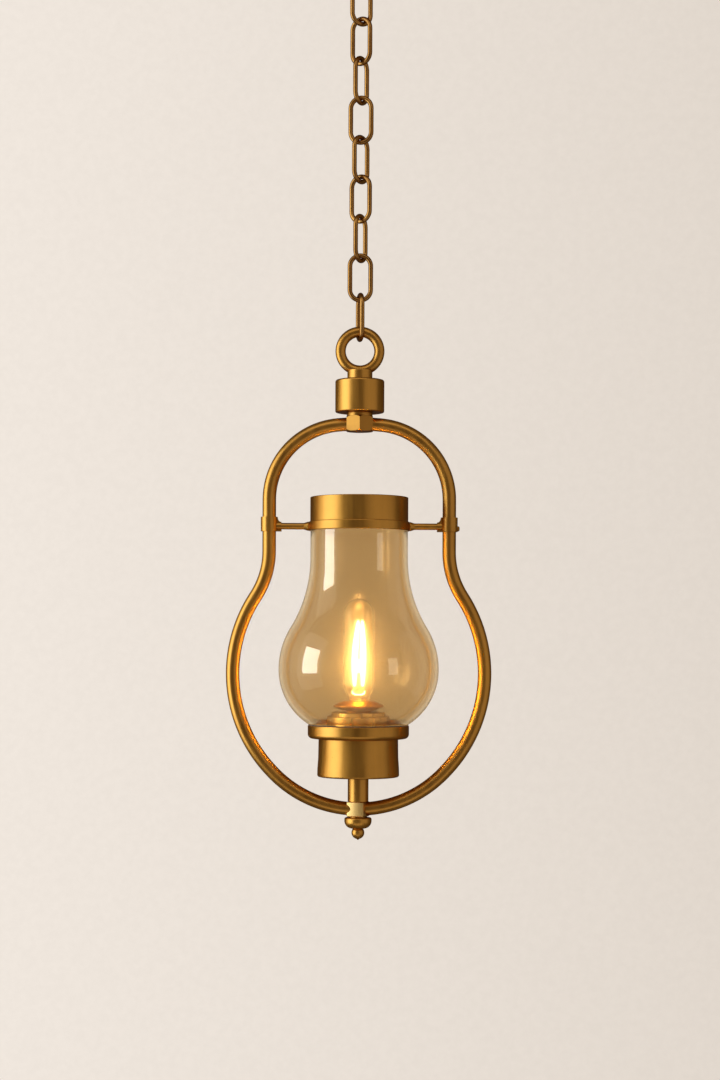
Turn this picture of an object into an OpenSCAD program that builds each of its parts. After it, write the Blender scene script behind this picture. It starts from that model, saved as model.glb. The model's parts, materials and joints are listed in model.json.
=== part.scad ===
// Hanging lantern: a ceiling canopy and oval-link chain carry a bent tube frame.
// The frame holds a bellied glass chimney between a sliding cap and a turned base.
// Millimetres, +Z up. The origin is the centre of the ceiling plate's top face,
// and the whole lantern hangs below it. The frame lies in the XZ plane.

/* [Ceiling canopy] */
// Outer diameter of the canopy dome
canopy_d = 120; // [100:1:150]
// Height of the canopy dome
canopy_h = 24; // [20:1:36]
// Radius of the dome's rounded edge
canopy_edge = 18; // [12:1:19]
// Sheet thickness of the dome
canopy_wall = 1.2; // [0.8:0.1:2]
// Length of the plate that is screwed to the ceiling
bracket_len = 92; // [86:1:98]
// Distance between the two ceiling screw holes
bracket_pitch = 70; // [60:1:76]
// Outer diameter of the loop that carries the chain
loop_d = 28; // [26:1:36]
// Wire diameter of that loop
loop_wire = 5; // [4:0.1:6]

/* [Chain] */
// Number of chain links
link_count = 9; // [3:1:9]
// Outer length of one link
link_len = 39.4; // [32:0.1:52]
// Outer width of one link
link_w = 20.4; // [19:0.1:26]
// Wire diameter of one link
link_wire = 3.8; // [3:0.1:4.4]

/* [Hanging ring and swivel] */
// Outer diameter of the hanging ring
ring_d = 39.2; // [34:0.1:48]
// Wire diameter of the hanging ring
ring_wire = 8.2; // [7:0.1:10]
// Diameter of the neck under the ring
neck_d = 20; // [17:0.1:24]
// Height of the neck that shows under the ring
neck_drop = 3.2; // [2:0.1:8]
// Diameter of the swivel collar
collar_d = 39.2; // [36:0.1:50]
// Height of the swivel collar
collar_h = 26; // [24:0.1:36]
// Rounding of the collar's edges
collar_edge = 1.6; // [0.5:0.1:2]
// Height of the short neck between the collar and the frame
throat_h = 3; // [2:0.1:8]

/* [Frame] */
// Outer diameter of the frame tube
tube_d = 10.8; // [9:0.1:12]
// Wall of the frame tube
tube_wall = 1.2; // [0.8:0.1:1.5]
// Radius of the crown's gentle arch
crown_r = 180; // [150:1:260]
// Half the width of the crown's arch before the shoulders begin
crown_half = 12; // [10:0.1:16]
// Distance from the shoulder down to the axis of the cap's arms
shoulder_to_arm = 21.4; // [20:0.1:30]
// Distance from the axis of the arms down to the waist's bend
arm_to_waist = 20.2; // [12:0.1:30]
// Radius of the waist's outward bend
waist_r = 66; // [55:1:80]
// Clear distance from the glass belly to the axis of the frame tube
belly_gap = 36.8; // [31:0.1:45]
// How far past the main axis the belly's arc has its centre
belly_past = 12.2; // [10:0.1:15]
// How much tighter the bottom arc is than the belly's arc
bottom_tighter = 18.3; // [16:0.1:22]
// Width across the flats of the six-sided upper hub
hub_top_w = 21; // [20:0.1:26]
// Side of the square lower hub
hub_low_w = 14.4; // [13.8:0.1:18]
// Metal left above and below the tube in each hub
hub_cover = 0.7; // [0.5:0.1:2]
// Length of the straight bit left between two bends
tube_flat = 1.5; // [1:0.1:4]
// Turn of the square lower hub about the main axis, in degrees
hub_low_turn = 20; // [0:1:30]

/* [Cap and arms] */
// Outer diameter of the cap sleeve
cap_d = 78.4; // [70:0.1:96]
// Height of the cap sleeve above its band
cap_h = 19.6; // [14:0.1:40]
// Sheet thickness of the cap sleeve
cap_wall = 1.4; // [1:0.1:1.7]
// Height of the band round the cap's foot
band_h = 7.2; // [6.5:0.1:12]
// Wall of the band
band_wall = 1.3; // [1:0.1:3]
// Diameter of the arm rods
arm_d = 5.2; // [4.5:0.1:6.4]
// Distance from the cap's surface to the axis of the frame tube
arm_reach = 32.8; // [27:0.1:40]
// Height of the clamp sleeves that slide on the frame
clamp_h = 11.4; // [10:0.1:15]
// Wall of the clamp sleeves
clamp_wall = 1.2; // [1:0.1:2]
// How far the clamp's middle lies above the arm's axis
clamp_raise = 1.6; // [0.5:0.1:2]

/* [Glass] */
// Length of the straight neck of the glass
glass_neck_h = 26.4; // [20:0.1:40]
// Radius of the flare under the neck
glass_flare_r = 107; // [90:1:130]
// Outer radius of the glass at its belly
glass_belly = 64; // [53:0.1:77]
// Arc radius of the belly above its widest line
glass_upper_r = 64; // [54:0.1:76]
// Arc radius of the belly below its widest line
glass_lower_r = 52; // [46:0.1:62]
// Outer radius of the glass at its foot
glass_foot = 40; // [37:0.1:44]
// Wall of the glass
glass_wall = 2.6; // [2:0.1:3]

/* [Base] */
// Outer diameter of the gallery that carries the glass
gallery_d = 81; // [80.6:0.1:98]
// Height of the gallery
gallery_h = 10.4; // [9:0.1:14]
// Height of the gallery's upright rim
gallery_rim = 6.8; // [5:0.1:8]
// Radius of the cup at its top
cup_top = 31.8; // [28:0.1:34]
// Radius of the cup at its bottom
cup_foot = 32.8; // [28:0.1:39]
// Height of the cup
cup_h = 30.6; // [25:0.1:36]
// Sheet thickness of the cup
cup_wall = 1.4; // [1:0.1:2]
// Diameter of the stem under the cup
stem_d = 16.6; // [14:0.1:20]
// Diameter of the hollow threaded rod through stem and hub
rod_d = 8; // [7.5:0.1:8.4]
// Diameter of the finial's bell
finial_d = 21.8; // [20:0.1:26]
// Height of the finial's bell
finial_h = 8.8; // [8.4:0.1:11]
// Diameter of the finial's ball
ball_d = 10.3; // [9:0.1:12.4]

/* [Lamp] */
// Diameter of the drum under the lamp
drum_d = 50.4; // [44:0.1:60]
// Height of the drum
drum_h = 7.2; // [6:0.1:9]
// Diameter of the raised step on the drum
step_d = 43; // [36:0.1:43.6]
// Height of the raised step
step_h = 3.2; // [2.5:0.1:4]
// Diameter of the drip dish
dish_d = 40; // [34:0.1:48]
// Thickness of the drip dish at its middle
dish_h = 7.6; // [7:0.1:9]
// Diameter of the lamp's sleeve
sleeve_d = 21.6; // [21:0.1:22.8]
// Outer diameter of the bulb's glass
bulb_d = 25; // [22:0.1:30]
// Height of the bulb's glass without its tip
bulb_h = 82; // [66:1:98]
// Diameter of the bulb's metal base
bulb_base_d = 13.8; // [12.6:0.1:14]

/* [Fits] */
// Gap between the wires of neighbouring links
link_gap = 0.25; // [0.2:0.01:0.4]
// Radial clearance between pieces that are screwed or soldered together
fit = 0.06; // [0.04:0.01:0.1]
// Radial clearance between pieces that slide or turn
slip = 0.15; // [0.1:0.01:0.3]
// Clearance between the glass and the metal round it
glass_gap = 0.35; // [0.3:0.01:0.5]

/* [Hidden] */
$fn = 96;
brass = "#a8742f";
dark_brass = "#6f4a1e";
bright_brass = "#c99a4a";
smoke_glass = [0.72, 0.52, 0.3, 0.45];
clear_glass = [0.95, 0.88, 0.75, 0.4];
steel = "#b8b8b4";
porcelain = "#e9e4d8";
black = "#262320";
felt = "#4a3a2a";
glow = "#ffd27a";
eps = 0.01;

// Turn of each link's plane about the chain's axis, from the loop downwards
link_turns = [30, 146, 57, 170, 52, 149, 62, 0, 90];
loop_turn = link_turns[0] + 90;

// Ceiling plate, threaded tube and chain loop
bracket_w = 16;
bracket_t = 3;
bracket_hole = 4.6;
nipple_d = 9.6;
nipple_bore = 6.4;
nipple_below = 9;
nut_h = 3;
nut_w = 15;
loop_barrel_d = 16;
loop_barrel_h = 12;
loop_sink = 1.5;
loop_nut_d = 23;
loop_nut_h = 8;
canopy_foot = -canopy_h;
loop_z = canopy_foot - loop_barrel_h + loop_sink - loop_d / 2;
loop_seat_z = loop_z - loop_d / 2 + loop_wire;

// Chain: each link hangs in the one above it
link_pitch = link_len - 2 * link_wire - link_gap;
link_1_z = loop_seat_z + link_gap - link_len / 2 + link_wire;
function link_z(i) = link_1_z - (i - 1) * link_pitch;
last_seat_z = link_z(link_count) - link_len / 2 + link_wire;

// Hanging ring and swivel
ring_z = last_seat_z + link_gap + ring_wire - ring_d / 2;
neck_rise = 5.2;
neck_top_z = ring_z - ring_d / 2 + neck_rise;
swivel_gap = 0.3;
neck_foot_z = ring_z - ring_d / 2 - neck_drop;
collar_top_z = neck_foot_z - swivel_gap;
collar_foot_z = collar_top_z - collar_h;
collar_wall = 2;
collar_roof = 2.4;
collar_floor = 3;
shank_d = 11;
shank_bore = 5;
shank_in = 11.4;
swivel_washer_t = 1;
swivel_nut_h = 5.4;
swivel_nut_w = 17;
swivel_washer_top = collar_top_z - collar_roof - swivel_gap;
swivel_nut_top = swivel_washer_top - swivel_washer_t;
collar_floor_z = collar_foot_z + collar_floor;
collar_inner = collar_d / 2 - collar_wall;
throat_d = 20.6;
throat_foot_z = collar_foot_z - throat_h;

// Frame: arcs that follow one another without a kink, from the crown down
tube_r = tube_d / 2;
neck_half = cap_d / 2 + arm_reach;
belly_half = glass_belly + belly_gap;
shoulder_r = neck_half - crown_half;
belly_r = belly_half + belly_past;
bottom_r = belly_r - bottom_tighter;
crown_diff = crown_r - shoulder_r;
waist_sum = waist_r + belly_r;
crown_turn = asin(crown_half / norm([crown_diff, tube_flat])) - atan(tube_flat / crown_diff);
waist_turn = acos((waist_sum - belly_half + neck_half) / norm([waist_sum, tube_flat]))
    - atan(tube_flat / waist_sum);
belly_turn = acos(belly_past / norm([bottom_tighter, tube_flat])) - atan(tube_flat / bottom_tighter);
hub_h = tube_d + 2 * hub_cover;
frame_top_z = throat_foot_z - hub_h / 2;
shoulder_z = frame_top_z - crown_r * (1 - cos(crown_turn)) - tube_flat * sin(crown_turn)
    - shoulder_r * cos(crown_turn);
arm_z = shoulder_z - shoulder_to_arm;
waist_z = arm_z - arm_to_waist;
belly_z = waist_z - waist_sum * sin(waist_turn) - tube_flat * cos(waist_turn);
frame_foot_z = belly_z - belly_r * sin(belly_turn) - tube_flat * cos(belly_turn)
    - bottom_r * (1 - sin(belly_turn));
bottom_arc_z = frame_foot_z + bottom_r;
sleeve_lap = 0.3;
sleeve_skin = 0.02;
hub_top_turn = 30;
hub_chamfer = 1.4;
top_stub = nipple_d / 2 + 1.4;
low_stub = rod_d / 2 + 0.7;

// Cap, band and clamps
cap_r = cap_d / 2;
band_in = cap_r + fit;
band_out = band_in + band_wall;
band_top_z = arm_z + band_h / 2;
band_foot_z = arm_z - band_h / 2;
cap_in_band = 1.6;
cap_foot_z = band_top_z - cap_in_band;
cap_top_z = band_top_z + cap_h;
gasket_t = 0.8;
gasket_touch = 0.1;
arm_flare_d = arm_d + 3.2;
arm_flare_len = 2.6;
clamp_in = tube_r + slip;
clamp_out = clamp_in + clamp_wall;
clamp_z = arm_z + clamp_raise;
clamp_boss = 3;
arm_in_clamp = 0.75;
arm_bore_end = neck_half - clamp_out + arm_in_clamp;
clamp_boss_wall = 0.9;
clamp_foot_t = 1.2;
clamp_foot_w = 8;
clamp_screw_d = 4;
clamp_screw_drop = 3.2;
clamp_screw_out = 1.6;

// Glass: neck, flare, upper belly and lower belly, all tangent
glass_r = cap_r + fit - glass_gap;
glass_top_z = cap_foot_z - gasket_t - gasket_touch;
glass_flare_z = glass_top_z - glass_neck_h;
glass_turn = acos(1 - (glass_belly - glass_r) / (glass_flare_r + glass_upper_r));
glass_belly_z = glass_flare_z - (glass_flare_r + glass_upper_r) * sin(glass_turn);
glass_low_x = glass_belly - glass_lower_r;
// The flare is drawn in by a hair, so that it crosses its neighbours cleanly
glass_blend = 0.005;
glass_lap = 3;
glass_foot_z = glass_belly_z - sqrt(pow(glass_lower_r, 2) - pow(glass_foot - glass_low_x, 2));

// Base, stacked down from the foot of the glass
gallery_top_z = glass_foot_z - gasket_touch - gasket_t;
gallery_foot_z = gallery_top_z - gallery_h;
gallery_plate = 2.2;
gallery_lip_h = 2.4;
gallery_lip_w = 1.2;
glass_foot_in = glass_foot - glass_wall * glass_lower_r / (glass_foot - glass_low_x);
gallery_lip_r = glass_foot_in - 1.2;
cup_foot_z = gallery_foot_z - cup_h;
cup_edge = 1.5;
hub_low_top_z = frame_foot_z + hub_h / 2;
hub_low_foot_z = frame_foot_z - hub_h / 2;
stem_h = cup_foot_z - hub_low_top_z;
rod_bore = 4.8;
rod_window_d = 4.2;
rod_window_z = frame_foot_z + 0.3;
rod_in_finial = 6;
finial_washer_t = 0.6;
finial_top_z = hub_low_foot_z - finial_washer_t;
finial_rim = 1.4;
finial_shoulder = 1.3;
finial_waist = 3.9;
finial_tip = 0.7;
ball_z = finial_top_z - finial_h - ball_d / 2 + 1.8;

// Lamp, stacked up from the gallery
socket_r = sleeve_d / 2 - 0.9;
sleeve_wall = 0.7;
drum_wall = 1.2;
step_top_z = gallery_top_z + drum_h + step_h;
dish_foot_z = step_top_z + 1.2;
dish_top_z = dish_foot_z + dish_h;
dish_rim = 1.2;
dish_sleeve = 1.6;
socket_top_z = dish_top_z - 2.2;
socket_floor_z = gallery_top_z - 3;
socket_foot_z = gallery_top_z - 6;
socket_neck_d = 14;
socket_neck_h = 7;
rod_top_z = socket_foot_z - 1.5;
lead_end_z = rod_top_z + 1;
bulb_base_top_z = dish_top_z - 0.6;
bulb_base_foot_z = socket_floor_z + 3.4;
bulb_foot_z = dish_top_z + 0.2;
bulb_wall = 0.9;
bulb_neck_r = 8.6;
bulb_tip_h = 4;
filament_d = 2;
filament_ring = 10.4;
filament_foot_z = bulb_foot_z + 11;
filament_h = bulb_h - 28;

// Insulated lead inside the frame
lead_d = 2.8;
lead_bend = 5;
joint_w = 7;
joint_len = 12;
joint_h = 8;
joint_x = collar_inner - joint_w - 1.4;
lead_top_z = collar_floor_z + nut_h + 3.4;

// A tube or solid rod bent to an arc in the XZ plane, from angle a1 to a2,
// counted from +X towards +Z about the point [x, 0, z]
module bent(x, z, r, a1, a2, outer, inner = 0) {
    translate([x, 0, z])
        rotate([90, 0, 0])
            rotate_extrude(angle = a2 - a1, start = a1)
                translate([r, 0])
                    difference() {
                        circle(r = outer);
                        if (inner > 0)
                            circle(r = inner);
                    }
}

// An upright tube or rod between two heights
module upright(x, z1, z2, outer, inner = 0) {
    translate([x, 0, z1])
        difference() {
            cylinder(r = outer, h = z2 - z1);
            if (inner > 0)
                translate([0, 0, -1])
                    cylinder(r = inner, h = z2 - z1 + 2);
        }
}

// A ring of round wire in the XZ plane, as used for the loop and the hanging ring
module round_ring(d, wire) {
    rotate([90, 0, 0])
        rotate_extrude()
            translate([(d - wire) / 2, 0])
                circle(d = wire);
}

// A hexagonal nut with a plain bore
module hex_nut(w, h, bore) {
    difference() {
        cylinder(d = w / cos(30), h = h, $fn = 6);
        translate([0, 0, -1])
            cylinder(d = bore, h = h + 2);
    }
}

// A turned disc whose lower and upper edges are rounded by r
module rounded_disc(r, h, edge) {
    rotate_extrude()
        union() {
            square([r - edge, h]);
            translate([0, edge])
                square([r, h - 2 * edge]);
            translate([r - edge, edge])
                circle(r = edge);
            translate([r - edge, h - edge])
                circle(r = edge);
        }
}

// A barrel with chamfered ends, which trims the corners of a hub
module trim_barrel(r, h, c) {
    rotate_extrude()
        polygon([[0, 0], [r - c, 0], [r, c], [r, h - c], [r - c, h], [0, h]]);
}

// The bends of the right half of the frame as [radius, angle], or [0, length] for
// a straight run. They start top_skip degrees along the crown and stop low_skip
// degrees short of the bottom.
function frame_bends(top_skip, low_skip) = [
    [crown_r, crown_turn - top_skip],
    [0, tube_flat],
    [shoulder_r, 90 - crown_turn],
    [0, shoulder_z - waist_z],
    [-waist_r, waist_turn],
    [0, tube_flat],
    [belly_r, waist_turn + belly_turn],
    [0, tube_flat],
    [bottom_r, 90 - belly_turn - low_skip]
];

// A tube that starts at the origin towards +X and follows a list of bends in the
// XZ plane. A positive radius turns downwards, and a negative one upwards. Each
// straight run laps over the bends next to it, as a hair-thin sleeve.
module bent_tube(bends, outer, inner = 0, i = 0) {
    r = bends[i][0];
    run = bends[i][1];
    lap_start = i > 0 ? sleeve_lap : 0;
    lap_end = i < len(bends) - 1 ? sleeve_lap : 0;
    if (r == 0)
        rotate([0, 90, 0])
            upright(0, -lap_start, run + lap_end, outer + sleeve_skin, inner > 0 ? inner - sleeve_skin : 0);
    else if (r > 0)
        bent(0, -r, r, 90 - run, 90, outer, inner);
    else
        bent(0, -r, -r, 270, 270 + run, outer, inner);
    if (i < len(bends) - 1)
        translate([r == 0 ? run : 0, 0, -r])
            rotate([0, r == 0 ? 0 : sign(r) * run, 0])
                translate([0, 0, r])
                    bent_tube(bends, outer, inner, i + 1);
}

// Moves its children from the origin to a point on the crown
module on_crown(skip) {
    translate([0, 0, frame_top_z - crown_r])
        rotate([0, skip, 0])
            translate([0, 0, crown_r])
                children();
}

module ceiling_plate() {
    color(steel)
        difference() {
            translate([-bracket_len / 2, -bracket_w / 2, -bracket_t])
                cube([bracket_len, bracket_w, bracket_t]);
            for (x = [-bracket_pitch / 2, bracket_pitch / 2])
                translate([x, 0, -bracket_t - 1])
                    cylinder(d = bracket_hole, h = bracket_t + 2);
            translate([0, 0, -bracket_t - 1])
                cylinder(d = nipple_d + 2 * fit, h = bracket_t + 2);
        }
}

module canopy_nipple() {
    color(steel)
        upright(0, canopy_foot - nipple_below, -0.4, nipple_d / 2, nipple_bore / 2);
}

module canopy_locknut() {
    color(steel)
        translate([0, 0, -bracket_t - nut_h])
            hex_nut(nut_w, nut_h, nipple_d + 2 * fit);
}

// Flat-topped dome with a rounded edge, open towards the ceiling
module canopy_solid(inset) {
    rotate_extrude()
        intersection() {
            union() {
                translate([0, -canopy_h + inset])
                    square([canopy_d / 2 - canopy_edge, canopy_h]);
                translate([0, -canopy_h + canopy_edge])
                    square([canopy_d / 2 - inset, canopy_h]);
                translate([canopy_d / 2 - canopy_edge, -canopy_h + canopy_edge])
                    circle(r = canopy_edge - inset);
            }
            translate([0, -canopy_h])
                square([canopy_d, canopy_h + (inset > 0 ? 1 : 0)]);
        }
}

module canopy_cover() {
    color(brass)
        difference() {
            canopy_solid(0);
            canopy_solid(canopy_wall);
            upright(0, canopy_foot - 1, canopy_foot + 2 * canopy_wall, nipple_d / 2 + fit);
        }
}

module canopy_loop() {
    color(brass)
        difference() {
            union() {
                translate([0, 0, canopy_foot - loop_barrel_h])
                    cylinder(d = loop_barrel_d, h = loop_barrel_h);
                rotate([0, 0, loop_turn])
                    translate([0, 0, loop_z])
                        round_ring(loop_d, loop_wire);
            }
            translate([0, 0, canopy_foot - nipple_below - 0.5])
                cylinder(d = nipple_d + 2 * fit, h = nipple_below + 1);
        }
}

module loop_ring_nut() {
    color(dark_brass)
        translate([0, 0, canopy_foot - loop_nut_h])
            difference() {
                rounded_disc(loop_nut_d / 2, loop_nut_h, 1);
                translate([0, 0, -1])
                    cylinder(d = loop_barrel_d + 2 * fit, h = loop_nut_h + 2);
            }
}

module chain_link(i) {
    bend_r = (link_w - link_wire) / 2;
    half = (link_len - link_w) / 2;
    color(brass)
        translate([0, 0, link_z(i)])
            rotate([0, 0, link_turns[i - 1]]) {
                bent(0, half, bend_r, 0, 180, link_wire / 2);
                bent(0, -half, bend_r, 180, 360, link_wire / 2);
                for (x = [-bend_r, bend_r])
                    upright(x, -half, half, link_wire / 2);
            }
}

// The ring, its neck and the shank that turns in the collar are one casting,
// with a hole down its middle for a lead
module hanging_ring() {
    color(brass)
        difference() {
            union() {
                translate([0, 0, ring_z])
                    round_ring(ring_d, ring_wire);
                upright(0, neck_foot_z, neck_top_z, neck_d / 2);
                upright(0, neck_foot_z - shank_in, neck_foot_z + 1, shank_d / 2);
            }
            upright(0, neck_foot_z - shank_in - 1, neck_top_z + ring_wire, shank_bore / 2);
        }
}

module swivel_washer() {
    color(steel)
        upright(0, swivel_nut_top, swivel_washer_top, shank_d / 2 + 3.4, shank_d / 2 + fit);
}

module swivel_nut() {
    color(steel)
        translate([0, 0, swivel_nut_top - swivel_nut_h])
            hex_nut(swivel_nut_w, swivel_nut_h, shank_d + 2 * fit);
}

module swivel_collar() {
    color(brass)
        difference() {
            translate([0, 0, collar_foot_z])
                rounded_disc(collar_d / 2, collar_h, collar_edge);
            upright(0, collar_foot_z - 1, collar_top_z - collar_roof, collar_inner);
            upright(0, collar_foot_z, collar_top_z + 1, shank_d / 2 + slip);
        }
}

module collar_floor_disc() {
    color(dark_brass)
        upright(0, collar_foot_z, collar_floor_z, collar_inner - fit, nipple_d / 2 + fit);
}

module throat_nipple() {
    color(steel)
        upright(0, frame_top_z + 2.6, collar_floor_z + nut_h + 1, nipple_d / 2, nipple_bore / 2);
}

module throat_locknut() {
    color(steel)
        translate([0, 0, collar_floor_z])
            hex_nut(nut_w, nut_h, nipple_d + 2 * fit);
}

module throat_sleeve() {
    color(brass)
        upright(0, throat_foot_z, collar_foot_z, throat_d / 2, nipple_d / 2 + fit);
}

module hub_upper() {
    socket_turn = asin(hub_top_w / crown_r);
    color(bright_brass)
        difference() {
            intersection() {
                translate([0, 0, frame_top_z - hub_h / 2])
                    rotate([0, 0, hub_top_turn])
                        cylinder(d = hub_top_w / cos(30), h = hub_h, $fn = 6);
                translate([0, 0, frame_top_z - hub_h / 2])
                    trim_barrel(hub_top_w / 2 / cos(30), hub_h, hub_chamfer);
            }
            bent(0, frame_top_z - crown_r, crown_r, 90 - socket_turn, 90 + socket_turn, tube_r + fit);
            upright(0, frame_top_z, frame_top_z + hub_h, nipple_d / 2 + fit);
        }
}

module lead_joint() {
    color(porcelain)
        translate([-joint_x - joint_w, -joint_len / 2, collar_floor_z])
            cube([joint_w, joint_len, joint_h]);
}

// Lead from the joint in the collar, down the throat, round the right-hand tube
// and up the stem to the lamp socket
module lead_inside() {
    top_skip = asin((lead_bend + tube_flat) / crown_r);
    low_skip = asin((lead_bend + tube_flat) / bottom_r);
    drop_h = lead_top_z - frame_top_z - 2 * lead_bend;
    rise_h = lead_end_z - frame_foot_z - lead_bend;
    color(black)
        translate([-joint_x, 0, lead_top_z])
            bent_tube(concat(
                [[0, joint_x - lead_bend], [lead_bend, 90]],
                [[0, drop_h], [-lead_bend, 90 - top_skip], [0, tube_flat]],
                frame_bends(top_skip, low_skip),
                [[0, tube_flat], [lead_bend, 90 + low_skip], [0, rise_h]]
            ), lead_d / 2);
}

module frame_tube_right() {
    top_skip = asin(top_stub / crown_r);
    low_skip = asin(low_stub / bottom_r);
    color(brass)
        on_crown(top_skip)
            bent_tube(frame_bends(top_skip, low_skip), tube_r, tube_r - tube_wall);
}

module frame_tube_left() {
    mirror([1, 0, 0])
        frame_tube_right();
}

module hub_lower() {
    corner_r = hub_low_w / 2 * sqrt(2);
    socket_turn = asin(hub_low_w / bottom_r);
    color(bright_brass)
        difference() {
            translate([0, 0, hub_low_foot_z])
                intersection() {
                    rotate([0, 0, -hub_low_turn])
                        translate([-hub_low_w / 2, -hub_low_w / 2, 0])
                            cube([hub_low_w, hub_low_w, hub_h]);
                    trim_barrel(corner_r, hub_h, hub_chamfer / 2);
                }
            bent(0, bottom_arc_z, bottom_r, 270 - socket_turn, 270 + socket_turn, tube_r + fit);
            upright(0, hub_low_foot_z - 1, hub_low_top_z + 1, rod_d / 2 + fit);
        }
}

// Sleeve that slides on the right-hand tube, with the socket for the arm
module clamp_right() {
    boss_r = arm_d / 2 + clamp_boss_wall;
    boss_end = neck_half - clamp_out - clamp_boss;
    fillet = clamp_z + clamp_h / 2 - arm_z - arm_d / 2;
    color(brass)
        difference() {
            union() {
                upright(neck_half, clamp_z - clamp_h / 2, clamp_z + clamp_h / 2, clamp_out);
                translate([boss_end, 0, arm_z])
                    rotate([0, 90, 0])
                        cylinder(r = boss_r, h = neck_half - boss_end);
                translate([boss_end, -clamp_foot_w / 2, clamp_z - clamp_h / 2])
                    cube([neck_half - boss_end, clamp_foot_w, clamp_foot_t]);
                difference() {
                    translate([boss_end, -arm_d / 2, arm_z])
                        cube([neck_half - boss_end, arm_d, clamp_z + clamp_h / 2 - arm_z]);
                    translate([neck_half - clamp_out - fillet, 0, clamp_z + clamp_h / 2])
                        rotate([90, 0, 0])
                            cylinder(r = fillet, h = arm_d + 2, center = true);
                }
            }
            upright(neck_half, clamp_z - clamp_h, clamp_z + clamp_h, clamp_in);
            translate([boss_end - 8, 0, arm_z])
                rotate([0, 90, 0])
                    cylinder(d = arm_d + 2 * fit, h = arm_bore_end - boss_end + 8);
            translate([neck_half, 0, clamp_z - clamp_screw_drop])
                rotate([0, 90, 0])
                    cylinder(d = clamp_screw_d + 2 * fit, h = clamp_out + 2);
        }
}

module clamp_left() {
    mirror([1, 0, 0])
        clamp_right();
}

// The right-hand screw stands out, and the left-hand one is driven in flush
module clamp_screws() {
    color(dark_brass) {
        translate([neck_half + clamp_in, 0, clamp_z - clamp_screw_drop])
            rotate([0, 90, 0])
                cylinder(d = clamp_screw_d, h = clamp_wall + clamp_screw_out);
        translate([-neck_half - clamp_out, 0, clamp_z - clamp_screw_drop])
            rotate([0, 90, 0])
                cylinder(d = clamp_screw_d, h = clamp_wall);
    }
}

module arm_right() {
    tip = neck_half - clamp_out;
    color(brass)
        difference() {
            union() {
                translate([cap_r - 1, 0, arm_z])
                    rotate([0, 90, 0])
                        cylinder(d = arm_d, h = tip - cap_r + 1);
                translate([cap_r, 0, arm_z])
                    rotate([0, 90, 0])
                        cylinder(d1 = arm_flare_d, d2 = arm_d, h = band_out - cap_r + arm_flare_len);
            }
            upright(0, arm_z - band_h, arm_z + band_h, band_out);
        }
}

module arm_left() {
    mirror([1, 0, 0])
        arm_right();
}

module cap_band() {
    color(brass)
        translate([0, 0, band_foot_z])
            difference() {
                rounded_disc(band_out, band_h, 1);
                translate([0, 0, -1])
                    cylinder(r = band_in, h = band_h + 2);
            }
}

module cap_sleeve() {
    color(brass)
        upright(0, cap_foot_z, cap_top_z, cap_r, cap_r - cap_wall);
}

module cap_gasket() {
    color(felt)
        upright(0, cap_foot_z - gasket_t, cap_foot_z, cap_r - 0.1, cap_r - cap_wall - 1);
}

// The glass outline as a solid of revolution about its widest line, moved outwards
// by e, and lengthened by extra at both ends
module glass_solid(e, extra) {
    flare_x = glass_r + glass_flare_r;
    flare_h = (glass_flare_r + glass_upper_r) * sin(glass_turn);
    join_h = (glass_upper_r + e) * sin(glass_turn);
    foot_h = glass_belly_z - glass_foot_z + extra;
    rotate_extrude() {
        translate([0, flare_h - glass_lap])
            square([glass_r + e, glass_neck_h + extra + glass_lap]);
        difference() {
            translate([0, join_h])
                square([flare_x, flare_h - join_h]);
            translate([flare_x, flare_h])
                circle(r = glass_flare_r - e + glass_blend);
        }
        intersection() {
            translate([glass_belly - glass_upper_r, 0])
                circle(r = glass_upper_r + e);
            square([glass_belly * 2, join_h + glass_lap]);
        }
        intersection() {
            translate([glass_low_x, 0])
                circle(r = glass_lower_r + e);
            translate([0, -foot_h])
                square([glass_belly * 2, foot_h]);
        }
        translate([0, -foot_h])
            square([glass_low_x, foot_h]);
    }
}

module glass_chimney() {
    color(smoke_glass)
        translate([0, 0, glass_belly_z])
            difference() {
                glass_solid(0, 0);
                glass_solid(-glass_wall, 1);
            }
}

module foot_gasket() {
    color(felt)
        upright(0, gallery_top_z, gallery_top_z + gasket_t, glass_foot, gallery_lip_r + fit);
}

// Turned tray: a flat top with a locating lip, an upright rim and a rounded
// underside that draws in to the cup
module gallery() {
    under = gallery_h - gallery_rim;
    rim_r = gallery_d / 2;
    color(brass)
        difference() {
            union() {
                rotate_extrude() {
                    translate([0, gallery_foot_z + under])
                        square([rim_r, gallery_rim]);
                    translate([0, gallery_foot_z])
                        square([rim_r - under, under + 1]);
                    intersection() {
                        translate([rim_r - under, gallery_foot_z + under])
                            circle(r = under);
                        translate([0, gallery_foot_z])
                            square([rim_r, under + 1]);
                    }
                }
                upright(0, gallery_top_z - 1, gallery_top_z + gallery_lip_h, gallery_lip_r);
            }
            upright(0, gallery_top_z, gallery_top_z + gallery_h, gallery_lip_r - gallery_lip_w);
            upright(0, gallery_foot_z - 1, gallery_top_z - gallery_plate, cup_top - cup_wall);
            upright(0, gallery_foot_z - 1, gallery_top_z + 1, socket_r + slip);
        }
}

// Slightly flaring can with a flat floor and a rounded foot
module base_cup() {
    color(brass)
        difference() {
            rotate_extrude() {
                polygon([[0, cup_foot_z], [cup_foot - cup_edge, cup_foot_z], [cup_foot, cup_foot_z + cup_edge],
                    [cup_top, gallery_foot_z], [0, gallery_foot_z]]);
                translate([cup_foot - cup_edge, cup_foot_z + cup_edge])
                    circle(r = cup_edge);
            }
            translate([0, 0, cup_foot_z + cup_wall])
                cylinder(r1 = cup_foot - cup_wall, r2 = cup_top - cup_wall, h = cup_h - cup_wall + eps);
            upright(0, cup_foot_z - 1, gallery_foot_z, rod_d / 2 + fit);
        }
}

module stem_sleeve() {
    color(brass)
        upright(0, hub_low_top_z, cup_foot_z, stem_d / 2, rod_d / 2 + fit);
}

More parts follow.
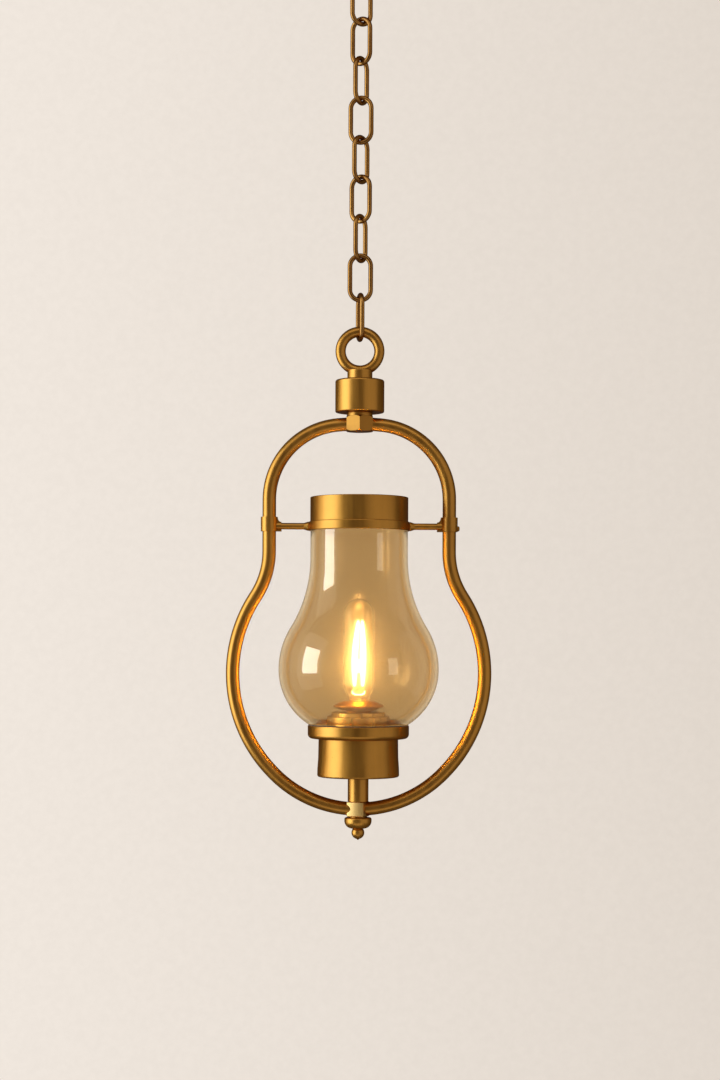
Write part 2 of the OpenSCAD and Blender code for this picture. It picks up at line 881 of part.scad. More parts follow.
// Hollow threaded rod that draws finial, hub, stem and cup together,
// with a window for the lead
module stem_rod() {
    color(steel)
        difference() {
            upright(0, finial_top_z - rod_in_finial, rod_top_z, rod_d / 2, rod_bore / 2);
            translate([0, 0, rod_window_z])
                rotate([0, 90, 0])
                    cylinder(d = rod_window_d, h = rod_d);
        }
}

module stem_locknut() {
    color(steel)
        translate([0, 0, cup_foot_z + cup_wall])
            hex_nut(nut_w - 1, nut_h, rod_d + 2 * fit);
}

module finial_washer() {
    color(dark_brass)
        upright(0, finial_top_z, hub_low_foot_z, 7, rod_d / 2 + slip);
}

// Bell with a rounded shoulder, and a ball with a small point below it
module finial() {
    color(brass)
        difference() {
            union() {
                translate([0, 0, finial_top_z - finial_h]) {
                    rotate_extrude() {
                        polygon([[0, 0], [finial_waist, 0], [finial_d / 2, finial_h - finial_rim - finial_shoulder],
                            [finial_d / 2, finial_h - finial_shoulder], [finial_d / 2 - finial_shoulder, finial_h],
                            [0, finial_h]]);
                        intersection() {
                            bell_r = (pow(finial_h - finial_shoulder, 2) + pow(finial_d / 2 - finial_waist, 2))
                                / 2 / (finial_d / 2 - finial_waist);
                            translate([finial_d / 2 - bell_r, finial_h - finial_shoulder])
                                circle(r = bell_r);
                            square([finial_d, finial_h - finial_shoulder]);
                        }
                    }
                }
                translate([0, 0, ball_z])
                    sphere(d = ball_d);
                translate([0, 0, ball_z - ball_d / 2 - finial_tip])
                    cylinder(r1 = 0.2, r2 = 1.2, h = finial_tip + 0.3);
            }
            upright(0, finial_top_z - rod_in_finial - 0.5, finial_top_z + 1, rod_d / 2 + slip);
        }
}

module burner_drum() {
    color(dark_brass)
        difference() {
            union() {
                upright(0, gallery_top_z, gallery_top_z + drum_h, drum_d / 2);
                upright(0, gallery_top_z, step_top_z, step_d / 2);
            }
            upright(0, gallery_top_z - 1, gallery_top_z + drum_h - drum_wall, drum_d / 2 - drum_wall);
            upright(0, gallery_top_z, step_top_z - drum_wall, step_d / 2 - drum_wall);
            upright(0, gallery_top_z, step_top_z + 1, sleeve_d / 2 + slip);
        }
}

// Lens-shaped dish that the bulb stands in
module drip_dish() {
    rim_z = dish_h / 2 - dish_rim / 2;
    color(brass)
        translate([0, 0, dish_foot_z])
            difference() {
                rotate_extrude()
                    polygon([[0, 0], [sleeve_d / 2 + 1.6, 0], [dish_d / 2, rim_z], [dish_d / 2, rim_z + dish_rim],
                        [sleeve_d / 2 + 1.6, dish_h], [0, dish_h]]);
                translate([0, 0, -1])
                    cylinder(d = sleeve_d + 2 * slip, h = dish_sleeve + 1);
                translate([0, 0, -1])
                    cylinder(r = socket_r + slip, h = dish_h + 2);
            }
}

module lamp_sleeve() {
    color(dark_brass)
        upright(0, gallery_top_z, dish_foot_z + dish_sleeve, sleeve_d / 2, sleeve_d / 2 - sleeve_wall);
}

module lamp_socket() {
    color(porcelain)
        difference() {
            union() {
                upright(0, socket_foot_z, socket_top_z, socket_r);
                upright(0, socket_foot_z - socket_neck_h, socket_foot_z + 1, socket_neck_d / 2);
            }
            upright(0, socket_floor_z, socket_top_z + 1, bulb_base_d / 2 + slip);
            upright(0, socket_foot_z - socket_neck_h - 1, socket_floor_z + 1, rod_d / 2 + fit);
        }
}

module socket_contact() {
    color(bright_brass)
        upright(0, socket_floor_z, bulb_base_foot_z - 2.2 - slip, bulb_base_d / 2 - 0.4, 0.8);
}

module bulb_contact() {
    color(steel)
        upright(0, bulb_base_foot_z - 2.2, bulb_base_foot_z, bulb_base_d / 2 - 2.6);
}

module bulb_base() {
    color(bright_brass)
        upright(0, bulb_base_foot_z, bulb_base_top_z, bulb_base_d / 2);
}

// Straight-sided bulb with a drawn-in neck, a round top and a sealing tip
module bulb_shape(inset) {
    r = bulb_d / 2 - inset;
    rotate_extrude()
        intersection() {
            union() {
                polygon([[0, inset], [bulb_neck_r - inset, inset], [r, bulb_d / 2], [r, bulb_h - bulb_d / 2],
                    [0, bulb_h - bulb_d / 2]]);
                translate([0, bulb_h - bulb_d / 2])
                    circle(r = r);
                if (inset == 0)
                    polygon([[0, bulb_h - 1], [1.8, bulb_h - 1], [0.5, bulb_h + bulb_tip_h], [0, bulb_h + bulb_tip_h]]);
            }
            square([bulb_d, bulb_h + bulb_tip_h + 1]);
        }
}

module bulb_glass() {
    color(clear_glass)
        translate([0, 0, bulb_foot_z])
            difference() {
                bulb_shape(0);
                bulb_shape(bulb_wall);
                translate([0, 0, -1])
                    cylinder(r = 3.2, h = 3);
            }
}

module bulb_stem() {
    color(clear_glass)
        upright(0, bulb_base_top_z, filament_foot_z - 1, 3);
}

// Four upright filaments on a cross-piece
module bulb_filaments() {
    color(glow) {
        translate([0, 0, filament_foot_z - 1])
            cylinder(d = filament_ring + 2 * filament_d, h = 1);
        for (a = [0 : 90 : 270])
            rotate([0, 0, a + 45])
                upright(filament_ring / 2, filament_foot_z, filament_foot_z + filament_h, filament_d / 2);
    }
}

ceiling_plate();
canopy_nipple();
canopy_locknut();
canopy_cover();
canopy_loop();
loop_ring_nut();
for (i = [1 : link_count])
    chain_link(i);
hanging_ring();
swivel_washer();
swivel_nut();
swivel_collar();
collar_floor_disc();
throat_nipple();
throat_locknut();
throat_sleeve();
hub_upper();
lead_joint();
lead_inside();
frame_tube_left();
frame_tube_right();
hub_lower();
clamp_left();
clamp_right();
clamp_screws();
arm_left();
arm_right();
cap_band();
cap_sleeve();
cap_gasket();
glass_chimney();
foot_gasket();
gallery();
base_cup();
stem_sleeve();
stem_rod();
stem_locknut();
finial_washer();
finial();
burner_drum();
drip_dish();
lamp_sleeve();
lamp_socket();
socket_contact();
bulb_contact();
bulb_base();
bulb_glass();
bulb_stem();
bulb_filaments();
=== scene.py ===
import json
import math

import bmesh
import bpy
from mathutils import Matrix, Vector

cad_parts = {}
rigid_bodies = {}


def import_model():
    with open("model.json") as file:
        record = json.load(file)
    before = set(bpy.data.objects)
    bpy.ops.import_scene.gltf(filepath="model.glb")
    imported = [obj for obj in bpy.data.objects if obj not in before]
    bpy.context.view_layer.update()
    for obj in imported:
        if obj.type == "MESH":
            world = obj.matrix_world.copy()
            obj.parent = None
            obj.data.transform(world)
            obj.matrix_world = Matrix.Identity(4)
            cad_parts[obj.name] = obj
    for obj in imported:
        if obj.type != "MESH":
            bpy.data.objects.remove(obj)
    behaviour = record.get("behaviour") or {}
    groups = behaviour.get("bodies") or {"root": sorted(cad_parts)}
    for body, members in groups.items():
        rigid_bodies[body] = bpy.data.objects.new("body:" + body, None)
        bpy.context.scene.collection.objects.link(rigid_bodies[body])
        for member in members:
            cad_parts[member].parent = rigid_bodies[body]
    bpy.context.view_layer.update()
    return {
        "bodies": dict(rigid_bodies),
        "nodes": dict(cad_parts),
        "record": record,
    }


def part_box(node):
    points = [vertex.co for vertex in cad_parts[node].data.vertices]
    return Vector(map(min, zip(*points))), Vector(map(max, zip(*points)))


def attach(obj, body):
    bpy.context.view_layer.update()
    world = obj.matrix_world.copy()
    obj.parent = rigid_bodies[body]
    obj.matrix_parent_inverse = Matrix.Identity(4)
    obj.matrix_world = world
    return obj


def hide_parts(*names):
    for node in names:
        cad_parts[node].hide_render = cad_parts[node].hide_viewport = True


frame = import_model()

scene = bpy.context.scene
nodes = frame["nodes"]
record = frame["record"]
bodyOf = {n: b for b, members in record["behaviour"]["bodies"].items() for n in members}
slotOf = {s["node"]: s["material_slot"] for s in record["subparts"]}
mm = 0.001


def nodeBox(name):  # lowest and highest corner of a CAD node, in mm
    low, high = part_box(name)
    return low / mm, high / mm


def place(mesh, name, node, material, sharp=38):
    mesh.shade_smooth()
    mesh.set_sharp_from_angle(angle=math.radians(sharp))
    mesh.materials.clear()
    mesh.materials.append(material)
    piece = bpy.data.objects.new(name, mesh)
    scene.collection.objects.link(piece)
    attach(piece, bodyOf[node])
    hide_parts(node)


def faceOutwards(mesh, merge=0.0):
    work = bmesh.new()
    work.from_mesh(mesh)
    if merge:
        bmesh.ops.remove_doubles(work, verts=work.verts, dist=merge)
    bmesh.ops.recalc_face_normals(work, faces=work.faces)
    work.to_mesh(mesh)
    work.free()


def meshFrom(name, verts, faces):
    mesh = bpy.data.meshes.new(name)
    mesh.from_pydata([Vector(v) * mm for v in verts], [], faces)
    faceOutwards(mesh, merge=1e-7)
    return mesh


def mirrored(mesh):
    for v in mesh.vertices:
        v.co.x = -v.co.x
    mesh.flip_normals()


def softened(corners, closed):
    # corners are (radius, height, rounding); gives the outline with each corner turned to its rounding,
    # and a point on the flat beside it that keeps the shading of the flat
    hold = 0.3
    out = []
    count = len(corners)
    for i, (r, z, rounding) in enumerate(corners):
        here = Vector((r, z))
        if rounding <= 0 or (not closed and i in (0, count - 1)):
            out.append(here)
            continue
        back = Vector(corners[i - 1][:2]) - here
        ahead = Vector(corners[(i + 1) % count][:2]) - here
        angle = back.angle(ahead)
        longest = 0.48 * min(back.length, ahead.length)
        reach = min(rounding / math.tan(angle / 2), longest)
        radius = reach * math.tan(angle / 2)
        toBack, toAhead = back.normalized(), ahead.normalized()
        centre = here + (toBack + toAhead).normalized() * radius / math.sin(angle / 2)
        first = here + toBack * reach - centre
        last = here + toAhead * reach - centre
        sweep = first.angle(last)
        steps = max(3, math.ceil(radius * sweep / 1.2))
        if back.length - reach > 4 * hold:
            out.append(centre + first + toBack * hold)
        for k in range(steps + 1):
            t = k / steps
            a = math.sin((1 - t) * sweep) / math.sin(sweep)
            b = math.sin(t * sweep) / math.sin(sweep)
            out.append(centre + first * a + last * b)
        if ahead.length - reach > 4 * hold:
            out.append(centre + last + toAhead * hold)
    return out


def turned(name, outline, closed=True, around=96, axis="Z", at=(0, 0, 0)):
    # spins an outline, in mm; an open one starts and ends on its axis
    verts, rows = [], []
    for p in outline:
        if p.x < 1e-6:
            rows.append([len(verts)] * around)
            verts.append((0, 0, p.y))
        else:
            rows.append(list(range(len(verts), len(verts) + around)))
            for k in range(around):
                a = 2 * math.pi * k / around
                verts.append((p.x * math.cos(a), p.x * math.sin(a), p.y))
    faces = []
    last = len(rows) if closed else len(rows) - 1
    for i in range(last):
        low, high = rows[i], rows[(i + 1) % len(rows)]
        for k in range(around):
            n = (k + 1) % around
            corner = [low[k], low[n], high[n], high[k]]
            face = [v for j, v in enumerate(corner) if v not in corner[:j]]
            if len(face) > 2:
                faces.append(face)
    if axis == "X":
        verts = [(z, x, y) for x, y, z in verts]
    verts = [(x + at[0], y + at[1], z + at[2]) for x, y, z in verts]
    return meshFrom(name, verts, faces)


def joined(name, meshes):  # several shells as one mesh
    work = bmesh.new()
    for m in meshes:
        work.from_mesh(m)
        bpy.data.meshes.remove(m)
    mesh = bpy.data.meshes.new(name)
    work.to_mesh(mesh)
    work.free()
    return mesh


def wireRing(name, diameter, wire, z, turn, steps=(72, 24)):
    verts, faces = [], []
    big, small = (diameter - wire) / 2, wire / 2
    for i in range(steps[0]):
        a = 2 * math.pi * i / steps[0]
        for k in range(steps[1]):
            b = 2 * math.pi * k / steps[1]
            away = big + small * math.cos(b)
            x, y = away * math.cos(a), small * math.sin(b)
            verts.append((x * math.cos(turn) - y * math.sin(turn), x * math.sin(turn) + y * math.cos(turn),
                          z + away * math.sin(a)))
    for i in range(steps[0]):
        for k in range(steps[1]):
            j, n = (i + 1) % steps[0], (k + 1) % steps[1]
            faces.append((i * steps[1] + k, j * steps[1] + k, j * steps[1] + n, i * steps[1] + n))
    return meshFrom(name, verts, faces)


def newMaterial(name):
    material = bpy.data.materials.new(name)
    material.use_nodes = True
    tree = material.node_tree
    return material, tree, tree.nodes["Principled BSDF"]


def pattern(tree, scale, stretch=(1, 1, 1), detail=3.0, rough=0.55):
    where = tree.nodes.new("ShaderNodeTexCoord")
    turn = tree.nodes.new("ShaderNodeMapping")
    turn.inputs["Scale"].default_value = stretch
    noise = tree.nodes.new("ShaderNodeTexNoise")
    noise.inputs["Scale"].default_value = scale
    noise.inputs["Detail"].default_value = detail
    noise.inputs["Roughness"].default_value = rough
    tree.links.new(where.outputs["Object"], turn.inputs["Vector"])
    tree.links.new(turn.outputs["Vector"], noise.inputs["Vector"])
    return noise.outputs["Fac"]


def ramp(tree, source, low, high, start=0.35, end=0.65):
    band = tree.nodes.new("ShaderNodeValToRGB")
    band.color_ramp.elements[0].position = start
    band.color_ramp.elements[1].position = end
    band.color_ramp.elements[0].color = (*low, 1)
    band.color_ramp.elements[1].color = (*high, 1)
    tree.links.new(source, band.inputs["Fac"])
    return band.outputs["Color"]


def remap(tree, source, low, high):
    spread = tree.nodes.new("ShaderNodeMapRange")
    spread.inputs["From Min"].default_value = 0.3
    spread.inputs["From Max"].default_value = 0.7
    spread.inputs["To Min"].default_value = low
    spread.inputs["To Max"].default_value = high
    tree.links.new(source, spread.inputs["Value"])
    return spread.outputs["Result"]


def blended(tree, kind, factor, first, second):
    mix = tree.nodes.new("ShaderNodeMix")
    mix.data_type = "RGBA"
    mix.blend_type = kind
    mix.inputs["Factor"].default_value = factor
    tree.links.new(first, mix.inputs[6])
    tree.links.new(second, mix.inputs[7])
    return mix.outputs[2]


def bumps(tree, source, strength, distance, under=None):
    bump = tree.nodes.new("ShaderNodeBump")
    bump.inputs["Strength"].default_value = strength
    bump.inputs["Distance"].default_value = distance
    tree.links.new(source, bump.inputs["Height"])
    if under:
        tree.links.new(under, bump.inputs["Normal"])
    return bump.outputs["Normal"]


def brassFinish(name, light, dark, roughness, brushing=(240, 240, 14), coat=0.22):
    # light and dark are the bright metal and its tarnish; brushing is the grain's fineness along each direction
    material, tree, shader = newMaterial(name)
    cloud = pattern(tree, 22, detail=4)
    streak = pattern(tree, 1, brushing, detail=2.5)
    speck = pattern(tree, 900, detail=2)
    lathe = pattern(tree, 1, (40, 40, 1500), detail=2)
    tarnish = ramp(tree, cloud, dark, light, 0.22, 0.6)
    grain = ramp(tree, streak, (0.9, 0.9, 0.9), (1, 1, 1), 0.3, 0.62)
    tree.links.new(blended(tree, "MULTIPLY", 1, tarnish, grain), shader.inputs["Base Color"])
    tree.links.new(remap(tree, streak, roughness - 0.05, roughness + 0.05), shader.inputs["Roughness"])
    under = bumps(tree, lathe, 0.12, 0.00005)
    under = bumps(tree, streak, 0.05, 0.0001, under)
    tree.links.new(bumps(tree, speck, 0.12, 0.00003, under), shader.inputs["Normal"])
    shader.inputs["Metallic"].default_value = 1
    shader.inputs["Specular Tint"].default_value = (0.32, 0.2, 0.1, 1)  # the colour at grazing angles
    shader.inputs["Coat Weight"].default_value = coat
    shader.inputs["Coat Roughness"].default_value = 0.22
    return material


def plainFinish(name, light, dark, roughness, metallic=0.0, scale=180, bump=0.1):
    material, tree, shader = newMaterial(name)
    cloud = pattern(tree, scale, detail=4)
    tree.links.new(ramp(tree, cloud, dark, light, 0.3, 0.7), shader.inputs["Base Color"])
    tree.links.new(remap(tree, cloud, roughness + 0.06, roughness - 0.06), shader.inputs["Roughness"])
    tree.links.new(bumps(tree, pattern(tree, scale * 6), bump, 0.00005), shader.inputs["Normal"])
    shader.inputs["Metallic"].default_value = metallic
    return material


def glassFinish(name, tint, shade, roughness, haze, hazeRoughness, waves=(30, 30, 6), wave=0.02):
    # tint colours what is seen through one wall, shade is what a lamp's light keeps,
    # and haze is the share that scatters
    material, tree, clear = newMaterial(name)
    output = tree.nodes["Material Output"]
    ripple = bumps(tree, pattern(tree, 1, waves, detail=2), wave, 0.0005)
    milky = tree.nodes.new("ShaderNodeBsdfPrincipled")
    for shader, rough in ((clear, roughness), (milky, hazeRoughness)):
        shader.inputs["Base Color"].default_value = (*tint, 1)
        shader.inputs["Roughness"].default_value = rough
        shader.inputs["Transmission Weight"].default_value = 1
        shader.inputs["IOR"].default_value = 1.46
        tree.links.new(ripple, shader.inputs["Normal"])
    both = tree.nodes.new("ShaderNodeMixShader")
    both.inputs["Fac"].default_value = haze
    through = tree.nodes.new("ShaderNodeBsdfTransparent")
    through.inputs["Color"].default_value = (*shade, 1)
    path = tree.nodes.new("ShaderNodeLightPath")
    shadow = tree.nodes.new("ShaderNodeMixShader")
    tree.links.new(clear.outputs["BSDF"], both.inputs[1])
    tree.links.new(milky.outputs["BSDF"], both.inputs[2])
    tree.links.new(path.outputs["Is Shadow Ray"], shadow.inputs["Fac"])
    tree.links.new(both.outputs["Shader"], shadow.inputs[1])
    tree.links.new(through.outputs["BSDF"], shadow.inputs[2])
    tree.links.new(shadow.outputs["Shader"], output.inputs["Surface"])
    return material


def glowFinish(name, colour, strength):
    material, tree, shader = newMaterial(name)
    cloud = pattern(tree, 700, detail=2)
    tree.links.new(ramp(tree, cloud, tuple(0.9 * c for c in colour), colour), shader.inputs["Emission Color"])
    shader.inputs["Base Color"].default_value = (*colour, 1)
    shader.inputs["Emission Strength"].default_value = strength
    shader.inputs["Roughness"].default_value = 0.5
    return material


finish = {
    "brass": brassFinish("agedBrass", (0.7, 0.335, 0.056), (0.56, 0.255, 0.038), 0.34),
    "dark_brass": brassFinish("shadedBrass", (0.5, 0.225, 0.033), (0.3, 0.12, 0.018), 0.34),
    # bright_brass is the bulb cap's own pale metal; on the foot hub it is painted light, a lit copy of the brass
    "bright_brass": brassFinish("wornBrass", (0.88, 0.56, 0.19), (0.7, 0.4, 0.1), 0.34),
    # painted light: a paler copy of the brass for the drum, standing in for the light it catches behind the glass
    "lamp_brass": brassFinish("lampBrass", (0.85, 0.62, 0.24), (0.7, 0.5, 0.18), 0.3),
    "wire": brassFinish("chainBrass", (0.5, 0.24, 0.055), (0.27, 0.11, 0.022), 0.3, (300, 300, 300)),
    "steel": plainFinish("zincSteel", (0.62, 0.61, 0.58), (0.4, 0.39, 0.37), 0.34, 1.0, 260),
    "porcelain": plainFinish("socketPorcelain", (0.86, 0.82, 0.74), (0.74, 0.69, 0.6), 0.25, 0.0, 120),
    "lead_sheath": plainFinish("leadSheath", (0.03, 0.027, 0.025), (0.015, 0.013, 0.012), 0.5, 0.0, 300),
    "felt": plainFinish("gasketFelt", (0.09, 0.06, 0.04), (0.045, 0.03, 0.02), 0.92, 0.0, 900, 0.6),
    "smoked_glass": glassFinish("smokedGlass", (0.69, 0.545, 0.33), (0.95, 0.88, 0.74), 0.0, 0.12, 0.42),
    "bulb_glass": glassFinish("bulbGlass", (0.98, 0.93, 0.84), (1, 0.98, 0.94), 0.0, 0.25, 0.3),
    "filament": glowFinish("litFilament", (1.0, 0.72, 0.34), 34),
}
print("finishes made")


crisp, soft = 0.2, 0.3  # roundings that an inner and an outer edge have unless its piece says otherwise, in mm


def turnedNode(name, node, corners, around=96, material=None):
    place(turned(name, softened(corners, True), True, around), name, node, material or finish[slotOf[node]])


cap = {"wall": 1.4, "rim": 0.5}
low, high = nodeBox("cap_sleeve")
inside = high.x - cap["wall"]
turnedNode("capSleeve", "cap_sleeve", [
    (high.x, low.z, soft), (high.x, high.z, cap["rim"]),
    (inside, high.z, cap["rim"]), (inside, low.z, soft)], around=128)

band = {"wall": 1.3, "rim": 0.95}
low, high = nodeBox("cap_band")
inside = high.x - band["wall"]
turnedNode("capBand", "cap_band", [
    (high.x, low.z, band["rim"]), (high.x, high.z, band["rim"]),
    (inside, high.z, crisp), (inside, low.z, crisp)], around=128)

collar = {"roof": 2.4, "bore": 17.6, "hole": 5.65, "rim": 1.6, "fillet": 0.6}
low, high = nodeBox("swivel_collar")
ceiling = high.z - collar["roof"]
turnedNode("swivelCollar", "swivel_collar", [
    (high.x, low.z, collar["rim"]), (high.x, high.z, collar["rim"]), (collar["hole"], high.z, soft),
    (collar["hole"], ceiling, crisp), (collar["bore"], ceiling, collar["fillet"]), (collar["bore"], low.z, soft)])

throat = {"bore": 4.86, "rim": 0.35, "edge": 0.1}
low, high = nodeBox("throat_sleeve")
turnedNode("throatSleeve", "throat_sleeve", [
    (high.x, low.z, throat["rim"]), (high.x, high.z, throat["rim"]),
    (throat["bore"], high.z, throat["edge"]), (throat["bore"], low.z, throat["edge"])])

tray = {"under": 3.6, "brow": 0.6, "lip": 2.4, "lipOut": 33.97, "lipWidth": 1.2, "lipFillet": 0.4, "plate": 2.2,
        "hole": 10.05, "well": 30.4, "wellFillet": 0.5}
low, high = nodeBox("gallery")
seat = high.z - tray["lip"]
under = seat - tray["plate"]
lipIn = tray["lipOut"] - tray["lipWidth"]
turnedNode("galleryTray", "gallery", [
    (high.x, low.z, tray["under"]), (high.x, seat, tray["brow"]), (tray["lipOut"], seat, soft),
    (tray["lipOut"], high.z, soft), (lipIn, high.z, soft), (lipIn, seat, tray["lipFillet"]),
    (tray["hole"], seat, soft), (tray["hole"], under, soft), (tray["well"], under, tray["wellFillet"]),
    (tray["well"], low.z, crisp)], around=128)

# the cup's side draws in on two long curves, placed at shares of its height
cup = {"top": 31.8, "wall": 1.4, "edge": 1.5, "bore": 4.06, "floorFillet": 0.8, "draw": 0.12, "drawAt": 0.2,
       "drawRound": 6, "waist": 0.25, "waistAt": 0.5, "waistRound": 10}
low, high = nodeBox("base_cup")
tall = high.z - low.z
floor = low.z + cup["wall"]
turnedNode("baseCup", "base_cup", [
    (cup["bore"], low.z, crisp), (high.x, low.z, cup["edge"]),
    (high.x - cup["draw"], low.z + cup["drawAt"] * tall, cup["drawRound"]),
    (cup["top"] + cup["waist"], low.z + cup["waistAt"] * tall, cup["waistRound"]), (cup["top"], high.z, soft),
    (cup["top"] - cup["wall"], high.z, crisp), (high.x - cup["wall"], floor, cup["floorFillet"]),
    (cup["bore"], floor, crisp)], around=128)

stem = {"bore": 4.06, "rim": 0.3, "edge": 0.1}
low, high = nodeBox("stem_sleeve")
turnedNode("stemSleeve", "stem_sleeve", [
    (high.x, low.z, stem["rim"]), (high.x, high.z, stem["rim"]),
    (stem["bore"], high.z, stem["edge"]), (stem["bore"], low.z, stem["edge"])], around=64)

drum = {"height": 7.2, "step": 21.5, "stepFillet": 0.5, "wall": 1.2, "hole": 10.95, "rim": 0.7}
low, high = nodeBox("burner_drum")
shelf = low.z + drum["height"]
stepIn = drum["step"] - drum["wall"]
# painted light: the drum takes the paler lit copy of the brass instead of its own
turnedNode("burnerDrum", "burner_drum", [
    (high.x, low.z, soft), (high.x, shelf, drum["rim"]), (drum["step"], shelf, drum["stepFillet"]),
    (drum["step"], high.z, drum["rim"]), (drum["hole"], high.z, soft),
    (drum["hole"], high.z - drum["wall"], crisp),
    (stepIn, high.z - drum["wall"], soft), (stepIn, shelf - drum["wall"], soft),
    (high.x - drum["wall"], shelf - drum["wall"], soft), (high.x - drum["wall"], low.z, soft)],
    material=finish["lamp_brass"])

dish = {"hole": 10.05, "hub": 12.4, "rim": 1.2, "rimEdge": 0.5, "seat": 1.6, "seatRadius": 10.95,
        "under": 1.0, "crown": 1.5}
low, high = nodeBox("drip_dish")
middle = (low.z + high.z) / 2
turnedNode("dripDish", "drip_dish", [
    (dish["seatRadius"], low.z, crisp), (dish["hub"], low.z, dish["under"]),
    (high.x, middle - dish["rim"] / 2, dish["rimEdge"]), (high.x, middle + dish["rim"] / 2, dish["rimEdge"]),
    (dish["hub"], high.z, dish["crown"]), (dish["hole"], high.z, soft),
    (dish["hole"], low.z + dish["seat"], crisp), (dish["seatRadius"], low.z + dish["seat"], crisp)])

sleeve = {"wall": 0.7}
low, high = nodeBox("lamp_sleeve")
inside = high.x - sleeve["wall"]
turnedNode("lampSleeve", "lamp_sleeve", [
    (high.x, low.z, crisp), (high.x, high.z, crisp), (inside, high.z, crisp), (inside, low.z, crisp)], around=64)

dome = {"edge": 18, "wall": 1.2, "hole": 4.86, "brim": 0.4}
low, high = nodeBox("canopy_cover")
inside = high.x - dome["wall"]
floor = low.z + dome["wall"]
turnedNode("canopyDome", "canopy_cover", [
    (high.x, high.z, dome["brim"]), (high.x, low.z, dome["edge"]), (dome["hole"], low.z, soft),
    (dome["hole"], floor, soft), (inside, floor, dome["edge"] - dome["wall"]), (inside, high.z, dome["brim"])],
    around=128)
print("turned pieces made")


# the finial: a bell that draws in on one long curve, over a ball with a small tip
finial = {"height": 8.8, "rim": 1.4, "shoulder": 1.3, "waist": 3.9, "bore": 4.15, "boreDepth": 6.5, "ball": 10.3,
          "throat": 3.6, "ballEnd": 0.24, "tip": 0.7, "tipOutline": ((0.75, 0.35), (0.4, 0.06), (0, 0))}
low, high = nodeBox("finial")
top = high.z
boreTop = top - finial["boreDepth"]
rimFoot = top - finial["rim"] - finial["shoulder"]
ballZ = low.z + finial["tip"] + finial["ball"] / 2
outline = [Vector((0, boreTop))]
outline += softened([(0, boreTop, 0), (finial["bore"], boreTop, crisp), (finial["bore"], top, crisp),
                     (high.x, top, finial["shoulder"]), (high.x, rimFoot, 0)], False)[1:]
bellTall = finial["height"] - finial["rim"] - finial["shoulder"]
for k in range(1, 15):
    a = math.radians(90 * k / 14)
    outline.append(Vector((finial["waist"] + (high.x - finial["waist"]) * math.cos(a) ** 0.8,
                           rimFoot - bellTall * math.sin(a) ** 1.05)))
start = math.asin(finial["throat"] / (finial["ball"] / 2))
for k in range(19):
    a = start + (math.pi - finial["ballEnd"] - start) * k / 18
    outline.append(Vector((finial["ball"] / 2 * math.sin(a), ballZ + finial["ball"] / 2 * math.cos(a))))
outline += [Vector((r, low.z + rise)) for r, rise in finial["tipOutline"]]
place(turned("finialTurned", outline, False, 72), "finialTurned", "finial", finish["brass"])
print("finial made")


hanger = {"ring": 39.2, "wire": 8.2, "neck": 10.0, "neckRise": 5.2, "shank": 5.5, "bore": 2.5, "shankIn": 11.4,
          "edge": 0.5, "topDrop": 0.4, "topRound": 1.0}
low, high = nodeBox("hanging_ring")
ringZ = high.z - hanger["ring"] / 2
neckFoot = low.z + hanger["shankIn"]
neckTop = ringZ - hanger["ring"] / 2 + hanger["neckRise"]
neck = turned("neck", softened([
    (hanger["shank"], low.z, hanger["edge"]), (hanger["shank"], neckFoot, crisp),
    (hanger["neck"], neckFoot, hanger["edge"]), (hanger["neck"], neckTop - hanger["topDrop"], hanger["topRound"]),
    (hanger["bore"], neckTop, crisp), (hanger["bore"], low.z, crisp)], True), True, 64)
ring = wireRing("ring", hanger["ring"], hanger["wire"], ringZ, 0, (96, 32))
place(joined("hangingRing", [ring, neck]), "hangingRing", "hanging_ring", finish["brass"])

loop = {"ring": 28, "wire": 5, "turn": 120, "barrel": 8.0, "barrelEdge": 0.8, "bore": 4.86, "boreDepth": 9.5,
        "height": 12}
low, high = nodeBox("canopy_loop")
foot = high.z - loop["height"]
boreFoot = high.z - loop["boreDepth"]
barrel = turned("barrel", softened([
    (0, foot, 0), (loop["barrel"], foot, loop["barrelEdge"]), (loop["barrel"], high.z, crisp),
    (loop["bore"], high.z, crisp), (loop["bore"], boreFoot, crisp), (0, boreFoot, 0)], False), False, 64)
ring = wireRing("ring", loop["ring"], loop["wire"], low.z + loop["ring"] / 2, math.radians(loop["turn"]))
place(joined("canopyLoop", [ring, barrel]), "canopyLoop", "canopy_loop", finish["brass"])
print("rings made")


# the bent frame; each half stops inside its hubs, at these distances from the axis
bends = {"crown": 180, "crownHalf": 12, "neckHalf": 72, "waist": 66, "bellyPast": 12.2, "tighter": 18.3,
         "flat": 1.5, "tube": 5.4, "wall": 1.2, "fromTop": 6.3, "fromFoot": 4.8, "halfway": -600, "around": 28}


